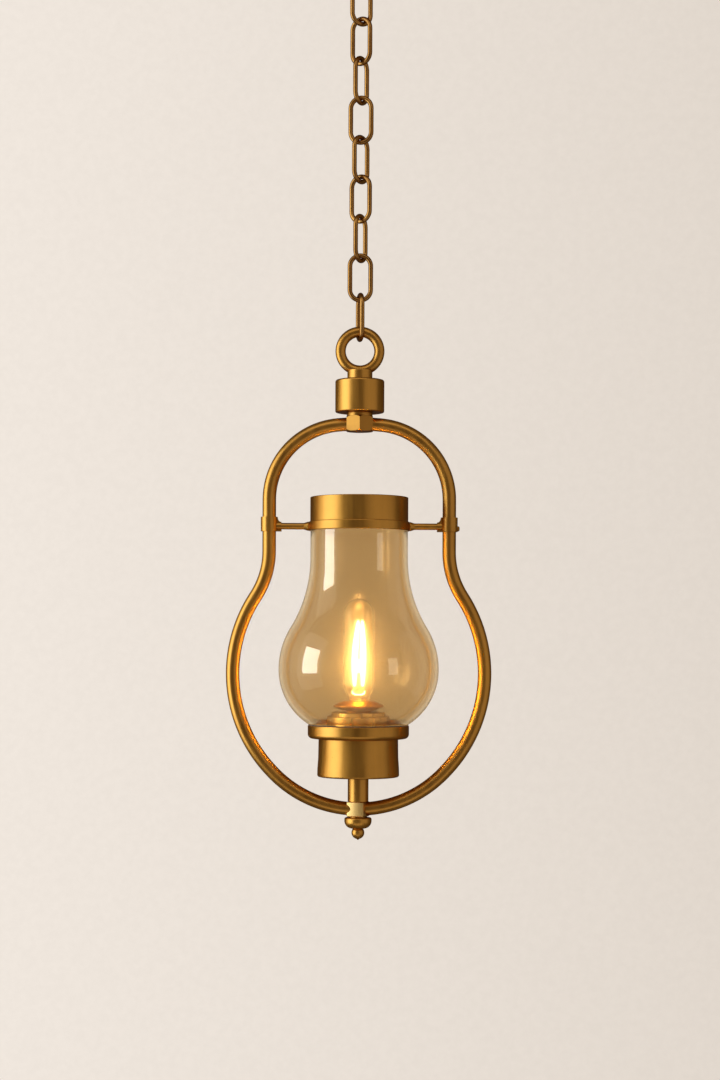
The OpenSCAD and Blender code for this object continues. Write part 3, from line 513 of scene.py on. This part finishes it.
def framePath():
    # centre line of the right half, from the hub at the top to the hub at the foot, in mm
    top = sum(c.z for c in nodeBox("hub_upper")) / 2
    foot = sum(c.z for c in nodeBox("hub_lower")) / 2
    clampX = bends["neckHalf"]
    bellyHalf = nodeBox("frame_tube_right")[1].x - bends["tube"]
    shoulder = clampX - bends["crownHalf"]
    belly = bellyHalf + bends["bellyPast"]
    bottom = belly - bends["tighter"]
    flat = bends["flat"]
    difference = bends["crown"] - shoulder
    reach = bends["waist"] + belly
    crownTurn = math.asin(bends["crownHalf"] / math.hypot(difference, flat)) - math.atan(flat / difference)
    waistTurn = math.acos((reach - bellyHalf + clampX) / math.hypot(reach, flat)) - math.atan(flat / reach)
    tighter = bends["tighter"]
    bellyTurn = math.acos(bends["bellyPast"] / math.hypot(tighter, flat)) - math.atan(flat / tighter)
    # one entry is (radius, angle), or (0, length) for a straight bit;
    # None is the straight side, which takes what is left of the height
    turns = [(bends["crown"], crownTurn), (0, flat), (shoulder, math.pi / 2 - crownTurn), None,
             (-bends["waist"], waistTurn), (0, flat), (belly, waistTurn + bellyTurn), (0, flat),
             (bottom, math.pi / 2 - bellyTurn)]

    def walk(side):
        x, z, heading = 0.0, top, 0.0
        points = [(x, z, heading)]
        for turn in turns:
            radius, run = (0, side) if turn is None else turn
            if radius == 0:
                x, z = x + run * math.cos(heading), z - run * math.sin(heading)
                points.append((x, z, heading))
                continue
            steps = max(3, math.ceil(abs(radius) * run / 3.0))
            for _ in range(steps):
                half = math.copysign(run / steps / 2, radius)
                chord = 2 * abs(radius) * math.sin(run / steps / 2)
                heading += half
                x, z = x + chord * math.cos(heading), z - chord * math.sin(heading)
                heading += half
                points.append((x, z, heading))
        return points

    return walk(walk(0)[-1][1] - foot)


def clearOfHubs(x, z):
    return x >= (bends["fromTop"] if z > bends["halfway"] else bends["fromFoot"])


route = [point for point in framePath() if clearOfHubs(point[0], point[1])]
ringSteps = bends["around"]
width = 2 * ringSteps  # a row of points is the outer ring, then the inner one
for side, label in ((1, "Right"), (-1, "Left")):
    node = "frame_tube_" + label.lower()
    verts, faces = [], []
    for x, z, heading in route:
        for radius in (bends["tube"], bends["tube"] - bends["wall"]):
            for k in range(ringSteps):
                a = 2 * math.pi * k / ringSteps
                out = radius * math.cos(a)
                verts.append((side * (x + out * math.sin(heading)), radius * math.sin(a),
                              z + out * math.cos(heading)))
    for i in range(len(route) - 1):
        for k in range(ringSteps):
            n = (k + 1) % ringSteps
            faces.append((i * width + k, i * width + n, (i + 1) * width + n, (i + 1) * width + k))
            faces.append((i * width + ringSteps + k, (i + 1) * width + ringSteps + k,
                          (i + 1) * width + ringSteps + n, i * width + ringSteps + n))
    for i in (0, len(route) - 1):
        for k in range(ringSteps):
            n = (k + 1) % ringSteps
            faces.append((i * width + k, i * width + n, i * width + ringSteps + n, i * width + ringSteps + k))
    place(meshFrom(node, verts, faces), "frameTube" + label, node, finish["brass"], 60)
print("frame made")


def newTree(name, sizes):
    tree = bpy.data.node_groups.new(name, "GeometryNodeTree")
    tree.is_modifier = True
    tree.interface.new_socket("Geometry", in_out="INPUT", socket_type="NodeSocketGeometry")
    for label, value in sizes.items():
        kind = "NodeSocketInt" if isinstance(value, int) else "NodeSocketFloat"
        tree.interface.new_socket(label, in_out="INPUT", socket_type=kind).default_value = value
    tree.interface.new_socket("Material", in_out="INPUT", socket_type="NodeSocketMaterial")
    tree.interface.new_socket("Geometry", in_out="OUTPUT", socket_type="NodeSocketGeometry")
    return tree, tree.nodes.new("NodeGroupInput"), tree.nodes.new("NodeGroupOutput")


def add(tree, kind, settings=None, **links):
    # a link is named after its socket, or i and the socket's number
    made = tree.nodes.new(kind)
    for key, value in (settings or {}).items():
        setattr(made, key, value)
    for key, value in links.items():
        numbered = key[0] == "i" and key[1:].isdigit()
        socket = made.inputs[int(key[1:]) if numbered else key.replace("_", " ")]
        if isinstance(value, bpy.types.NodeSocket):
            tree.links.new(value, socket)
        else:
            socket.default_value = value
    return made


def sums(tree, operation, first, second):
    return add(tree, "ShaderNodeMath", {"operation": operation}, i0=first, i1=second).outputs[0]


def grown(name, tree, values):  # the tree's result as a plain mesh
    maker = bpy.data.objects.new(name + "Maker", bpy.data.meshes.new(name + "Maker"))
    scene.collection.objects.link(maker)
    modifier = maker.modifiers.new("Nodes", "NODES")
    modifier.node_group = tree
    for label, value in values.items():
        modifier[tree.interface.items_tree[label].identifier] = value
    bpy.context.view_layer.update()
    mesh = bpy.data.meshes.new_from_object(maker.evaluated_get(bpy.context.evaluated_depsgraph_get()))
    mesh.name = name
    bpy.data.objects.remove(maker)
    return mesh


def finishTree(tree, source, groupIn, groupOut):
    real = add(tree, "GeometryNodeRealizeInstances", Geometry=source)
    painted = add(tree, "GeometryNodeSetMaterial", Geometry=real.outputs[0], Material=groupIn.outputs["Material"])
    tree.links.new(painted.outputs[0], groupOut.inputs[0])


# an oval link of round wire with a brazed joint on one side; turns are each link's, in degrees
turns = [30, 146, 57, 170, 52, 149, 62, 0, 101]
chain = {"Length": 39.4 * mm, "Width": 20.4 * mm, "Wire": 3.8 * mm, "Turn": 0.0, "Height": 0.0, "Braze": 1.07}
linkTree, groupIn, groupOut = newTree("chainLink", chain)
pick = groupIn.outputs
across = sums(linkTree, "SUBTRACT", pick["Width"], pick["Wire"])
along = sums(linkTree, "SUBTRACT", pick["Length"], pick["Wire"])
frameCurve = add(linkTree, "GeometryNodeCurvePrimitiveQuadrilateral", Width=across, Height=along)
rounded = add(linkTree, "GeometryNodeFilletCurve", Curve=frameCurve.outputs[0],
              Radius=sums(linkTree, "MULTIPLY", across, 0.4999))
rounded.mode = "POLY"
rounded.inputs["Count"].default_value = 14
even = add(linkTree, "GeometryNodeResampleCurve", Curve=rounded.outputs[0], Count=96)
where = add(linkTree, "GeometryNodeInputPosition")
parts = add(linkTree, "ShaderNodeSeparateXYZ", i0=where.outputs[0])
nearJoint = add(linkTree, "FunctionNodeCompare", {"data_type": "FLOAT", "operation": "LESS_THAN"},
                i0=sums(linkTree, "ABSOLUTE", parts.outputs["Y"], 0.0), i1=0.9 * mm)
onSide = sums(linkTree, "GREATER_THAN", parts.outputs["X"], 0.0)
bead = sums(linkTree, "MULTIPLY", nearJoint.outputs[0], onSide)
extra = sums(linkTree, "SUBTRACT", pick["Braze"], 1.0)
swell = sums(linkTree, "ADD", 1.0, sums(linkTree, "MULTIPLY", bead, extra))
thick = add(linkTree, "GeometryNodeSetCurveRadius", Curve=even.outputs[0], Radius=swell)
section = add(linkTree, "GeometryNodeCurvePrimitiveCircle", Resolution=20,
              Radius=sums(linkTree, "MULTIPLY", pick["Wire"], 0.5))
swept = add(linkTree, "GeometryNodeCurveToMesh", i0=thick.outputs[0], i1=section.outputs[0])
spin = add(linkTree, "ShaderNodeCombineXYZ", X=math.pi / 2, Z=pick["Turn"])
lift = add(linkTree, "ShaderNodeCombineXYZ", Z=pick["Height"])
placed = add(linkTree, "GeometryNodeTransform", Geometry=swept.outputs[0], Translation=lift.outputs[0],
             Rotation=spin.outputs[0])
finishTree(linkTree, placed.outputs[0], groupIn, groupOut)

for i, turn in enumerate(turns, 1):
    node = f"chain_link_{i}"
    low, high = nodeBox(node)
    values = dict(chain, Turn=math.radians(turn), Height=(low.z + high.z) / 2 * mm, Material=finish["wire"])
    place(grown(f"chainLink{i}", linkTree, values), f"chainLink{i}", node, finish["wire"], 60)
print("chain made")


# the smoked chimney: its outline is swung round the lantern's axis
chimney = {"neck": 38.91, "flare": 107.0, "belly": 64.0, "upper": 64.0, "lower": 52.0, "foot": 40.0, "wall": 2.6,
           "lip": 0.9}


def chimneyOutline():
    low, high = nodeBox("glass_chimney")
    neck, lip = chimney["neck"], chimney["lip"]
    turn = math.acos(1 - (chimney["belly"] - neck) / (chimney["flare"] + chimney["upper"]))
    lowX = chimney["belly"] - chimney["lower"]
    footDrop = math.acos((chimney["foot"] - lowX) / chimney["lower"])
    bellyZ = low.z + chimney["lower"] * math.sin(footDrop)
    flareZ = bellyZ + (chimney["flare"] + chimney["upper"]) * math.sin(turn)

    def wall(inset):
        points = [(neck - inset, high.z - lip), (neck - inset, (high.z + flareZ) / 2)]
        for k in range(25):
            a = turn * k / 24
            radius = chimney["flare"] + inset
            points.append((neck + chimney["flare"] - radius * math.cos(a), flareZ - radius * math.sin(a)))
        for k in range(1, 25):
            a = turn * (1 - k / 24)
            radius = chimney["upper"] - inset
            points.append((chimney["belly"] - chimney["upper"] + radius * math.cos(a),
                           bellyZ + radius * math.sin(a)))
        for k in range(1, 29):
            radius = chimney["lower"] - inset
            a = math.asin(min(1, (bellyZ - low.z) / radius)) * k / 28
            points.append((lowX + radius * math.cos(a), bellyZ - radius * math.sin(a)))
        return points

    # the mouth's edge is rounded, as fire polishing leaves it
    inside = neck - chimney["wall"]
    mouth = [(inside + lip * 0.3, high.z - lip * 0.3), (inside + lip, high.z), (neck - lip, high.z),
             (neck - lip * 0.3, high.z - lip * 0.3)]
    return wall(0) + list(reversed(wall(chimney["wall"]))) + mouth


outline = chimneyOutline()
profile = bpy.data.curves.new("chimneyOutline", "CURVE")
profile.dimensions = "3D"
line = profile.splines.new("POLY")
line.points.add(len(outline) - 1)
for point, (r, z) in zip(line.points, outline):
    point.co = (r * mm, -z * mm, 0, 1)
line.use_cyclic_u = True
profileObject = bpy.data.objects.new("chimneyOutline", profile)
scene.collection.objects.link(profileObject)
blow = {"Steps": 160, "Axis": 1.0 * mm}
blowTree, groupIn, groupOut = newTree("blownChimney", blow)
taken = add(blowTree, "GeometryNodeObjectInfo", i0=profileObject)
shift = add(blowTree, "ShaderNodeCombineXYZ", X=sums(blowTree, "MULTIPLY", groupIn.outputs["Axis"], -1.0))
moved = add(blowTree, "GeometryNodeTransform", Geometry=taken.outputs["Geometry"], Translation=shift.outputs[0])
circle = add(blowTree, "GeometryNodeCurvePrimitiveCircle", Resolution=groupIn.outputs["Steps"],
             Radius=groupIn.outputs["Axis"])
blown = add(blowTree, "GeometryNodeCurveToMesh", i0=circle.outputs[0], i1=moved.outputs[0])
finishTree(blowTree, blown.outputs[0], groupIn, groupOut)
mesh = grown("glassChimney", blowTree, dict(blow, Material=finish["smoked_glass"]))
bpy.data.objects.remove(profileObject)
faceOutwards(mesh)
place(mesh, "glassChimney", "glass_chimney", finish["smoked_glass"], 60)
print("chimney made")


# a screw thread: a ridge of wire wound up a core
thread = {"Radius": 4.0 * mm, "Pitch": 1.0 * mm, "Turns": 8.0, "Foot": 0.0, "Ridge": 0.5 * mm}
threadTree, groupIn, groupOut = newTree("screwThread", thread)
pick = groupIn.outputs
rise = sums(threadTree, "MULTIPLY", pick["Pitch"], pick["Turns"])
spiral = add(threadTree, "GeometryNodeCurveSpiral", Resolution=36, Rotations=pick["Turns"],
             Start_Radius=pick["Radius"], End_Radius=pick["Radius"], Height=rise)
ridge = add(threadTree, "GeometryNodeCurvePrimitiveCircle", Resolution=8, Radius=pick["Ridge"])
wound = add(threadTree, "GeometryNodeCurveToMesh", i0=spiral.outputs[0], i1=ridge.outputs[0])
wound.inputs["Fill Caps"].default_value = True
lift = add(threadTree, "ShaderNodeCombineXYZ", Z=pick["Foot"])
placed = add(threadTree, "GeometryNodeTransform", Geometry=wound.outputs[0], Translation=lift.outputs[0])
finishTree(threadTree, placed.outputs[0], groupIn, groupOut)

# a stretch of thread is measured from the rod's foot or its top
sink = 0.02
rod = {"core": 3.55, "bore": 2.4, "pitch": 1.25, "ridge": 0.42, "lowFrom": 0.6, "lowLength": 20.0, "topFrom": 27.6,
       "topLength": 26.0}
low, high = nodeBox("stem_rod")
core = turned("core", softened([
    (rod["core"], low.z, soft), (rod["core"], high.z, soft), (rod["bore"], high.z, crisp),
    (rod["bore"], low.z, crisp)], True), True, 48)
stretches = ((low.z + rod["lowFrom"], rod["lowLength"]), (high.z - rod["topFrom"], rod["topLength"]))
ridges = [grown("rodThread", threadTree, {
    "Radius": (rod["core"] + sink) * mm, "Pitch": rod["pitch"] * mm, "Turns": length / rod["pitch"],
    "Foot": foot * mm, "Ridge": rod["ridge"] * mm, "Material": finish["steel"]}) for foot, length in stretches]
place(joined("stemRod", [core] + ridges), "stemRod", "stem_rod", finish["steel"])

base = {"tip": 4.6, "core": 6.15, "coreFrom": 1.6, "coreTo": 3.4, "skirt": 6.7, "skirtFrom": 2.6, "rim": 6.9,
        "pitch": 2.82, "ridge": 0.75, "turns": 4.2, "from": 2.4}
low, high = nodeBox("bulb_base")
core = turned("core", softened([
    (0, low.z, 0), (base["tip"], low.z, 0.4), (base["core"], low.z + base["coreFrom"], 0.6),
    (base["core"], high.z - base["coreTo"], 0.4), (base["skirt"], high.z - base["skirtFrom"], 0.5),
    (base["rim"], high.z, 0.4), (0, high.z, 0)], False), False, 64)
ridge = grown("baseThread", threadTree, {
    "Radius": (base["core"] - sink) * mm, "Pitch": base["pitch"] * mm, "Turns": base["turns"],
    "Foot": (low.z + base["from"]) * mm, "Ridge": base["ridge"] * mm, "Material": finish["bright_brass"]})
place(joined("bulbBase", [core, ridge]), "bulbBase", "bulb_base", finish["bright_brass"])
print("threads made")


# the canopy's ring nut: a turned ring with ribs for the fingers
loopNut = {"bore": 8.06, "edge": 0.9, "rimTall": 1.5, "bandDrop": 1.8, "rimIn": 0.1, "bandIn": 0.5, "ribIn": 0.55}
ribs = {"Count": 48, "Radius": 11.2 * mm, "Tall": 4.6 * mm, "Rib": 0.5 * mm, "Middle": 0.0}
ribTree, groupIn, groupOut = newTree("knurledRing", ribs)
pick = groupIn.outputs
around = add(ribTree, "GeometryNodeMeshCircle", Vertices=pick["Count"], Radius=pick["Radius"])
bar = add(ribTree, "GeometryNodeMeshCylinder", Vertices=8, Radius=pick["Rib"], Depth=pick["Tall"])
each = add(ribTree, "GeometryNodeInstanceOnPoints", Points=around.outputs[0], Instance=bar.outputs[0])
lift = add(ribTree, "ShaderNodeCombineXYZ", Z=pick["Middle"])
placed = add(ribTree, "GeometryNodeTransform", Geometry=each.outputs[0], Translation=lift.outputs[0])
finishTree(ribTree, placed.outputs[0], groupIn, groupOut)
low, high = nodeBox("loop_ring_nut")
rimX, bandX = high.x - loopNut["rimIn"], high.x - loopNut["bandIn"]
nut = turned("nut", softened([
    (rimX, low.z, loopNut["edge"]), (rimX, low.z + loopNut["rimTall"], soft),
    (bandX, low.z + loopNut["bandDrop"], 0.1), (bandX, high.z - loopNut["bandDrop"], 0.1),
    (rimX, high.z - loopNut["rimTall"], soft),
    (rimX, high.z, loopNut["edge"]), (loopNut["bore"], high.z, crisp), (loopNut["bore"], low.z, crisp)], True))
knurl = grown("knurl", ribTree, dict(
    ribs, Middle=(low.z + high.z) / 2 * mm, Radius=(high.x - loopNut["ribIn"]) * mm, Material=finish["dark_brass"]))
place(joined("loopRingNut", [nut, knurl]), "loopRingNut", "loop_ring_nut", finish["dark_brass"])
print("ring nut made")


# an arm is a rod that flares where it meets the band
arm = {"radius": 2.6, "flare": 3.7, "flareDraw": 0.1, "flareFlat": 0.8, "flareLength": 3.8, "flareRound": 2.0,
       "end": 0.4}
for side, label in ((1, "Right"), (-1, "Left")):
    node = "arm_" + label.lower()
    low, high = nodeBox(node)
    z = (low.z + high.z) / 2
    near, far = (low.x, high.x) if side > 0 else (-high.x, -low.x)
    outline = softened([(0, near, 0), (arm["flare"], near, soft),
                        (arm["flare"] - arm["flareDraw"], near + arm["flareFlat"], soft),
                        (arm["radius"], near + arm["flareLength"], arm["flareRound"]),
                        (arm["radius"], far, arm["end"]), (0, far, 0)], False)
    mesh = turned(node, outline, False, 32, "X", (0, 0, z))
    if side < 0:
        mirrored(mesh)
    place(mesh, "arm" + label, node, finish["brass"])

# a clamp screw's domed head, finely divided so that the driver's slot can be pressed into it
screw = {"radius": 2.0, "from": 77.55, "slot": 0.5, "deep": 0.5, "dome": 0.5, "divided": 0.6, "pressed": 0.62}
low, high = nodeBox("clamp_screws")
heads = []
for side, outer in ((1, high.x), (-1, -low.x)):
    mesh = turned("screw", softened([
        (0, screw["from"], 0), (screw["radius"], screw["from"], 0.1),
        (screw["radius"], outer - screw["dome"], 0.4), (screw["radius"] * 0.6, outer - 0.1, 0.6), (0, outer, 0)], False),
        False, 24, "X", (0, 0, (low.z + high.z) / 2))
    work = bmesh.new()
    work.from_mesh(mesh)
    head = (outer - screw["divided"]) * mm
    bmesh.ops.subdivide_edges(work, edges=[e for e in work.edges if min(v.co.x for v in e.verts) > head], cuts=3,
                              use_grid_fill=True)
    for v in work.verts:
        if v.co.x > (outer - screw["pressed"]) * mm and abs(v.co.y) < screw["slot"] * mm:
            v.co.x -= screw["deep"] * mm
    work.to_mesh(mesh)
    work.free()
    if side < 0:
        mirrored(mesh)
    heads.append(mesh)
place(joined("clampScrews", heads), "clampScrews", "clamp_screws", finish["dark_brass"])
print("arms made")


# the bulb's glass; its tip is where the tube was sealed, as (radius, height above the round end)
bulb = {"neck": 8.6, "neckIn": 1.2, "neckTall": 1.0, "shoulder": 12, "wall": 0.9, "tip": 4.0, "hole": 3.2,
        "tipFoot": ((1.7, -0.2), (1.15, 0.8)), "tipEnd": ((0.95, 1.6), (0.65, 0.5), (0, 0))}
low, high = nodeBox("bulb_glass")
r = high.x
roundZ = high.z - bulb["tip"] - r


def bulbWall(inset):
    neck, shoulder = bulb["neck"] - inset, low.z + inset + bulb["neckTall"]
    points = [Vector((neck - bulb["neckIn"], low.z + inset)), Vector((neck, shoulder))]
    for k in range(1, 13):  # the shoulder swells on an S curve
        t = k / 12
        ease = t * t * (3 - 2 * t)
        points.append(Vector((neck + (r - bulb["neck"]) * ease, shoulder + bulb["shoulder"] * t)))
    points.append(Vector((r - inset, (low.z + roundZ) / 2)))
    for k in range(17):
        a = math.radians(90 * k / 16)
        points.append(Vector(((r - inset) * math.cos(a), roundZ + (r - inset) * math.sin(a))))
    return points


outer, inner = bulbWall(0), bulbWall(bulb["wall"])
outer = outer[:-2] + [Vector((x, roundZ + r + z)) for x, z in bulb["tipFoot"]]
outer += [Vector((x, high.z - z)) for x, z in bulb["tipEnd"]]
hole = [Vector((bulb["hole"], low.z + bulb["wall"])), Vector((bulb["hole"], low.z))]
outline = list(reversed(inner)) + hole + outer
place(turned("bulbGlass", outline, False, 72), "bulbGlass", "bulb_glass", finish["bulb_glass"], 60)

# the glass mount that carries the filaments swells at both ends
mountSize = {"foot": 3.0, "low": 2.6, "waist": 1.9, "button": 2.5, "top": 2.3, "swell": 3}
low, high = nodeBox("bulb_stem")
mount = turned("mount", softened([
    (0, low.z, 0), (mountSize["foot"], low.z, soft), (mountSize["low"], low.z + mountSize["swell"], 1),
    (mountSize["waist"], high.z - mountSize["swell"], 1), (mountSize["button"], high.z - 1, 0.5),
    (mountSize["top"], high.z, 0.4), (0, high.z, 0)], False), False, 32)
place(mount, "bulbMount", "bulb_stem", finish["bulb_glass"])

# lit filaments lean together towards the top; two support wires hold their feet
lit = {"thick": 1.15, "swell": 1.3, "end": 0.5, "foot": 4.6, "middle": 4.6, "head": 2.2, "lean": 1.2, "from": 1.5,
       "to": 1.0, "wire": 0.5, "drop": 4.6, "bridge": 1.2,
       "support": ((1.0, -1.0, 0), (2.6, -2.4, 0.3), (4.4, -3.4, 1.0), (4.9, -3.4, 3.0))}
low, high = nodeBox("bulb_filaments")


def rodAlong(name, points, radii, sides=12):
    verts, faces = [], []
    for i, p in enumerate(points):
        p = Vector(p)
        ahead = Vector(points[min(i + 1, len(points) - 1)]) - Vector(points[max(i - 1, 0)])
        side = ahead.cross(Vector((0.3, 1, 0.1))).normalized()
        other = ahead.cross(side).normalized()
        for k in range(sides):
            a = 2 * math.pi * k / sides
            verts.append(p + (side * math.cos(a) + other * math.sin(a)) * radii[i])
    for i in range(len(points) - 1):
        for k in range(sides):
            n = (k + 1) % sides
            faces.append((i * sides + k, i * sides + n, (i + 1) * sides + n, (i + 1) * sides + k))
    faces.append(tuple(range(sides)))
    faces.append(tuple(range((len(points) - 1) * sides, len(points) * sides)))
    return meshFrom(name, verts, faces)


shells = []
tall = high.z - low.z
for k in range(4):
    a = math.radians(45 + 90 * k)
    points, radii = [], []
    for i in range(25):
        t = i / 24
        bow = math.sin(math.pi * t)
        away = lit["foot"] * (1 - t) + lit["head"] * t + (lit["middle"] - (lit["foot"] + lit["head"]) / 2) * bow
        x = away * math.cos(a) + lit["lean"] * t * t
        points.append((x, away * math.sin(a), low.z + lit["from"] + (tall - lit["from"] - lit["to"]) * t))
        radii.append(lit["thick"] + lit["swell"] * bow if 0 < i < 24 else lit["end"])
    shells.append(rodAlong("strand", points, radii))
foot = low.z - lit["drop"]
for side in (-1, 1):
    points = [(side * x, y, foot + z) for x, y, z in lit["support"]]
    shells.append(rodAlong("support", points, [lit["wire"]] * 4, 8))
points = [(side * lit["bridge"], lit["support"][0][1], foot) for side in (-1, 1)]
shells.append(rodAlong("bridge", points, [lit["wire"]] * 2, 8))
place(joined("bulbFilaments", shells), "bulbFilaments", "bulb_filaments", finish["filament"])
print("bulb made")


# the foot hub is a bevelled block turned a little to the left, which stands a hair proud of its node
footHub = {"width": 14.6, "turn": -22, "bevel": 1.2}
low, high = nodeBox("hub_lower")
work = bmesh.new()
bmesh.ops.create_cube(work, size=1)
for v in work.verts:
    v.co = Vector((v.co.x * footHub["width"], v.co.y * footHub["width"], v.co.z * (high.z - low.z))) * mm
bmesh.ops.bevel(work, geom=work.edges[:], offset=footHub["bevel"] * mm, segments=3, profile=0.5, affect="EDGES")
turn = Matrix.Rotation(math.radians(footHub["turn"]), 4, "Z")
bmesh.ops.transform(work, matrix=Matrix.Translation((0, 0, (low.z + high.z) / 2 * mm)) @ turn, verts=work.verts)
mesh = bpy.data.meshes.new("footHub")
work.to_mesh(mesh)
work.free()
# painted light: the foot hub takes the pale brass so that its face reads as lit by the key
place(mesh, "footHub", "hub_lower", finish["bright_brass"], 25)


# pieces whose CAD mesh is kept as it is
special = {"hub_upper": "dark_brass", "collar_floor_disc": "dark_brass"}
for name, node in nodes.items():
    if node.hide_render:
        continue
    node.data.materials.clear()
    node.data.materials.append(finish[special.get(name, slotOf[name])])
print("kept pieces painted")


# a round room whose floor curves up into its wall; it lights itself, so its colours are what is seen
room = {"radius": 6000, "floor": -2600, "wallTop": 8000, "cove": 800, "fade": 1.4}
shell = turned("room", softened([
    (0, room["floor"], 0), (room["radius"], room["floor"], room["cove"]), (room["radius"], room["wallTop"], 0)],
    False), False, 128)
shell.shade_smooth()
roomMaterial, tree, shader = newMaterial("palePlaster")
mottle = pattern(tree, 34, detail=5, rough=0.6)
coordinates = tree.nodes.new("ShaderNodeTexCoord")
split = tree.nodes.new("ShaderNodeSeparateXYZ")
tree.links.new(coordinates.outputs["Object"], split.inputs[0])
slope = tree.nodes.new("ShaderNodeMapRange")  # painted light: the emitted colour fades from the left wall to the right, standing in for daylight
slope.inputs["From Min"].default_value = -room["fade"]
slope.inputs["From Max"].default_value = room["fade"]
tree.links.new(split.outputs["X"], slope.inputs["Value"])
paintedDaylight = ramp(tree, slope.outputs["Result"], (0.885, 0.81, 0.735), (0.765, 0.69, 0.615), 0.0, 1.0)
plaster = ramp(tree, mottle, (0.972, 0.972, 0.972), (1, 1, 1), 0.35, 0.65)
pale = blended(tree, "MULTIPLY", 1, paintedDaylight, plaster)
shader.inputs["Base Color"].default_value = (0.0, 0.0, 0.0, 1)
tree.links.new(pale, shader.inputs["Emission Color"])
shader.inputs["Emission Strength"].default_value = 1.0
shader.inputs["Roughness"].default_value = 0.9
shader.inputs["Specular IOR Level"].default_value = 0.0
shell.materials.append(roomMaterial)
roomObject = bpy.data.objects.new("studioRoom", shell)
scene.collection.objects.link(roomObject)
roomObject.visible_glossy = False

world = bpy.data.worlds.new("softStudio")
world.use_nodes = True
world.node_tree.nodes["Background"].inputs["Color"].default_value = (1.0, 0.86, 0.72, 1)
world.node_tree.nodes["Background"].inputs["Strength"].default_value = 0.125
scene.world = world
scene.view_settings.view_transform = "Standard"

middleZ = -0.58  # the height the lights aim at


def softbox(name, turn, raiseBy, distance, width, height, radiance, colour, only):
    # turn is degrees to the right of the camera's side, as seen from the lantern; only is what it lights
    a, e = math.radians(turn), math.radians(raiseBy)
    light = bpy.data.lights.new(name, "AREA")
    light.shape = "RECTANGLE"
    light.size, light.size_y = width, height
    light.energy = radiance * math.pi * width * height
    light.color = colour
    lamp = bpy.data.objects.new(name, light)
    scene.collection.objects.link(lamp)
    lamp.location = (distance * math.sin(a) * math.cos(e), -distance * math.cos(a) * math.cos(e),
                     middleZ + distance * math.sin(e))
    aim = Vector((0, 0, middleZ)) - lamp.location
    lamp.rotation_euler = aim.to_track_quat("-Z", "Y").to_euler()
    lamp.visible_camera = False
    lamp.light_linking.receiver_collection = only


def gathered(name, members):
    group = bpy.data.collections.new(name)
    for member in members:
        group.objects.link(member)
    return group


glassNames = ("glassChimney", "bulbGlass")
glowing = ("gallery", "burner", "drip", "lamp", "socket", "bulb", "glass", "foot")
pieces = [o for o in scene.objects if o.type == "MESH" and o is not roomObject and not o.hide_render]
glassOnly = gathered("glassOnly", [o for o in pieces if o.name in glassNames])
metalOnly = gathered("metalOnly", [o for o in pieces if o.name not in glassNames])
insideGlass = gathered("insideGlass", [o for o in pieces if o.name in ("burnerDrum", "dripDish", "lampSleeve")])
nearBulb = gathered("nearBulb", [o for o in pieces if o.name.startswith(glowing)])
softbox("keyBox", -77, 4, 2.0, 2.6, 2.8, 0.95, (1, 0.96, 0.9), metalOnly)
softbox("keyCore", -72, 4, 2.0, 1.5, 2.8, 1.75, (0.62, 0.82, 1), metalOnly)
softbox("fillBox", 55, 4, 1.9, 2.6, 2.8, 0.3, (1, 0.93, 0.84), metalOnly)
softbox("topBox", -10, 52, 2.0, 2.6, 1.1, 0.75, (1, 0.96, 0.9), metalOnly)
softbox("lowBox", 0, -48, 1.9, 2.6, 1.0, 0.45, (1, 0.93, 0.84), metalOnly)
softbox("innerKey", -64, 8, 1.2, 0.9, 1.2, 7.0, (0.8, 0.95, 1), insideGlass)
softbox("windowLeft", -74, 9, 2.0, 0.95, 1.05, 12.0, (1, 0.98, 0.93), glassOnly)
softbox("windowSheen", -76, 6, 2.0, 1.6, 2.6, 0.7, (1, 0.96, 0.88), glassOnly)
softbox("windowRight", 50, 3, 2.0, 0.5, 0.8, 2.6, (1, 0.96, 0.88), glassOnly)
softbox("glassFill", 90, 6, 1.9, 1.4, 2.6, 0.25, (1, 0.95, 0.88), glassOnly)
for side in (-1, 1):
    softbox("wallSheen", side * 128, 4, 2.0, 2.6, 3.0, 0.24, (1, 0.93, 0.82), glassOnly)

# the bulb's own light rides with the bulb
bulbGlow = {"watts": 0.13, "radius": 0.006, "rise": 18}
low, high = nodeBox("bulb_filaments")
glow = bpy.data.lights.new("bulbLight", "POINT")
glow.energy = bulbGlow["watts"]
glow.color = (1, 0.56, 0.16)
glow.shadow_soft_size = bulbGlow["radius"]
glowObject = bpy.data.objects.new("bulbLight", glow)
scene.collection.objects.link(glowObject)
glowObject.location = (0, 0, (low.z + bulbGlow["rise"]) * mm)
glowObject.parent = frame["bodies"]["bulb"]
glowObject.light_linking.receiver_collection = nearBulb

# seen is the height that the picture takes in at the lantern
shot = {"distance": 1.6, "eye": -0.5836, "middle": -0.5036, "aside": 0.001, "roll": -0.25, "lens": 66.67,
        "seen": 0.864}
camera = bpy.data.cameras.new("camera")
camera.lens = shot["lens"]
camera.shift_y = (shot["middle"] - shot["eye"]) / shot["seen"]
camera.clip_start, camera.clip_end = 0.05, 40
cameraObject = bpy.data.objects.new("camera", camera)
scene.collection.objects.link(cameraObject)
cameraObject.location = (shot["aside"], -shot["distance"], shot["eye"])
cameraObject.rotation_euler = (math.radians(90), math.radians(shot["roll"]), 0)
scene.camera = cameraObject
print("studio made")
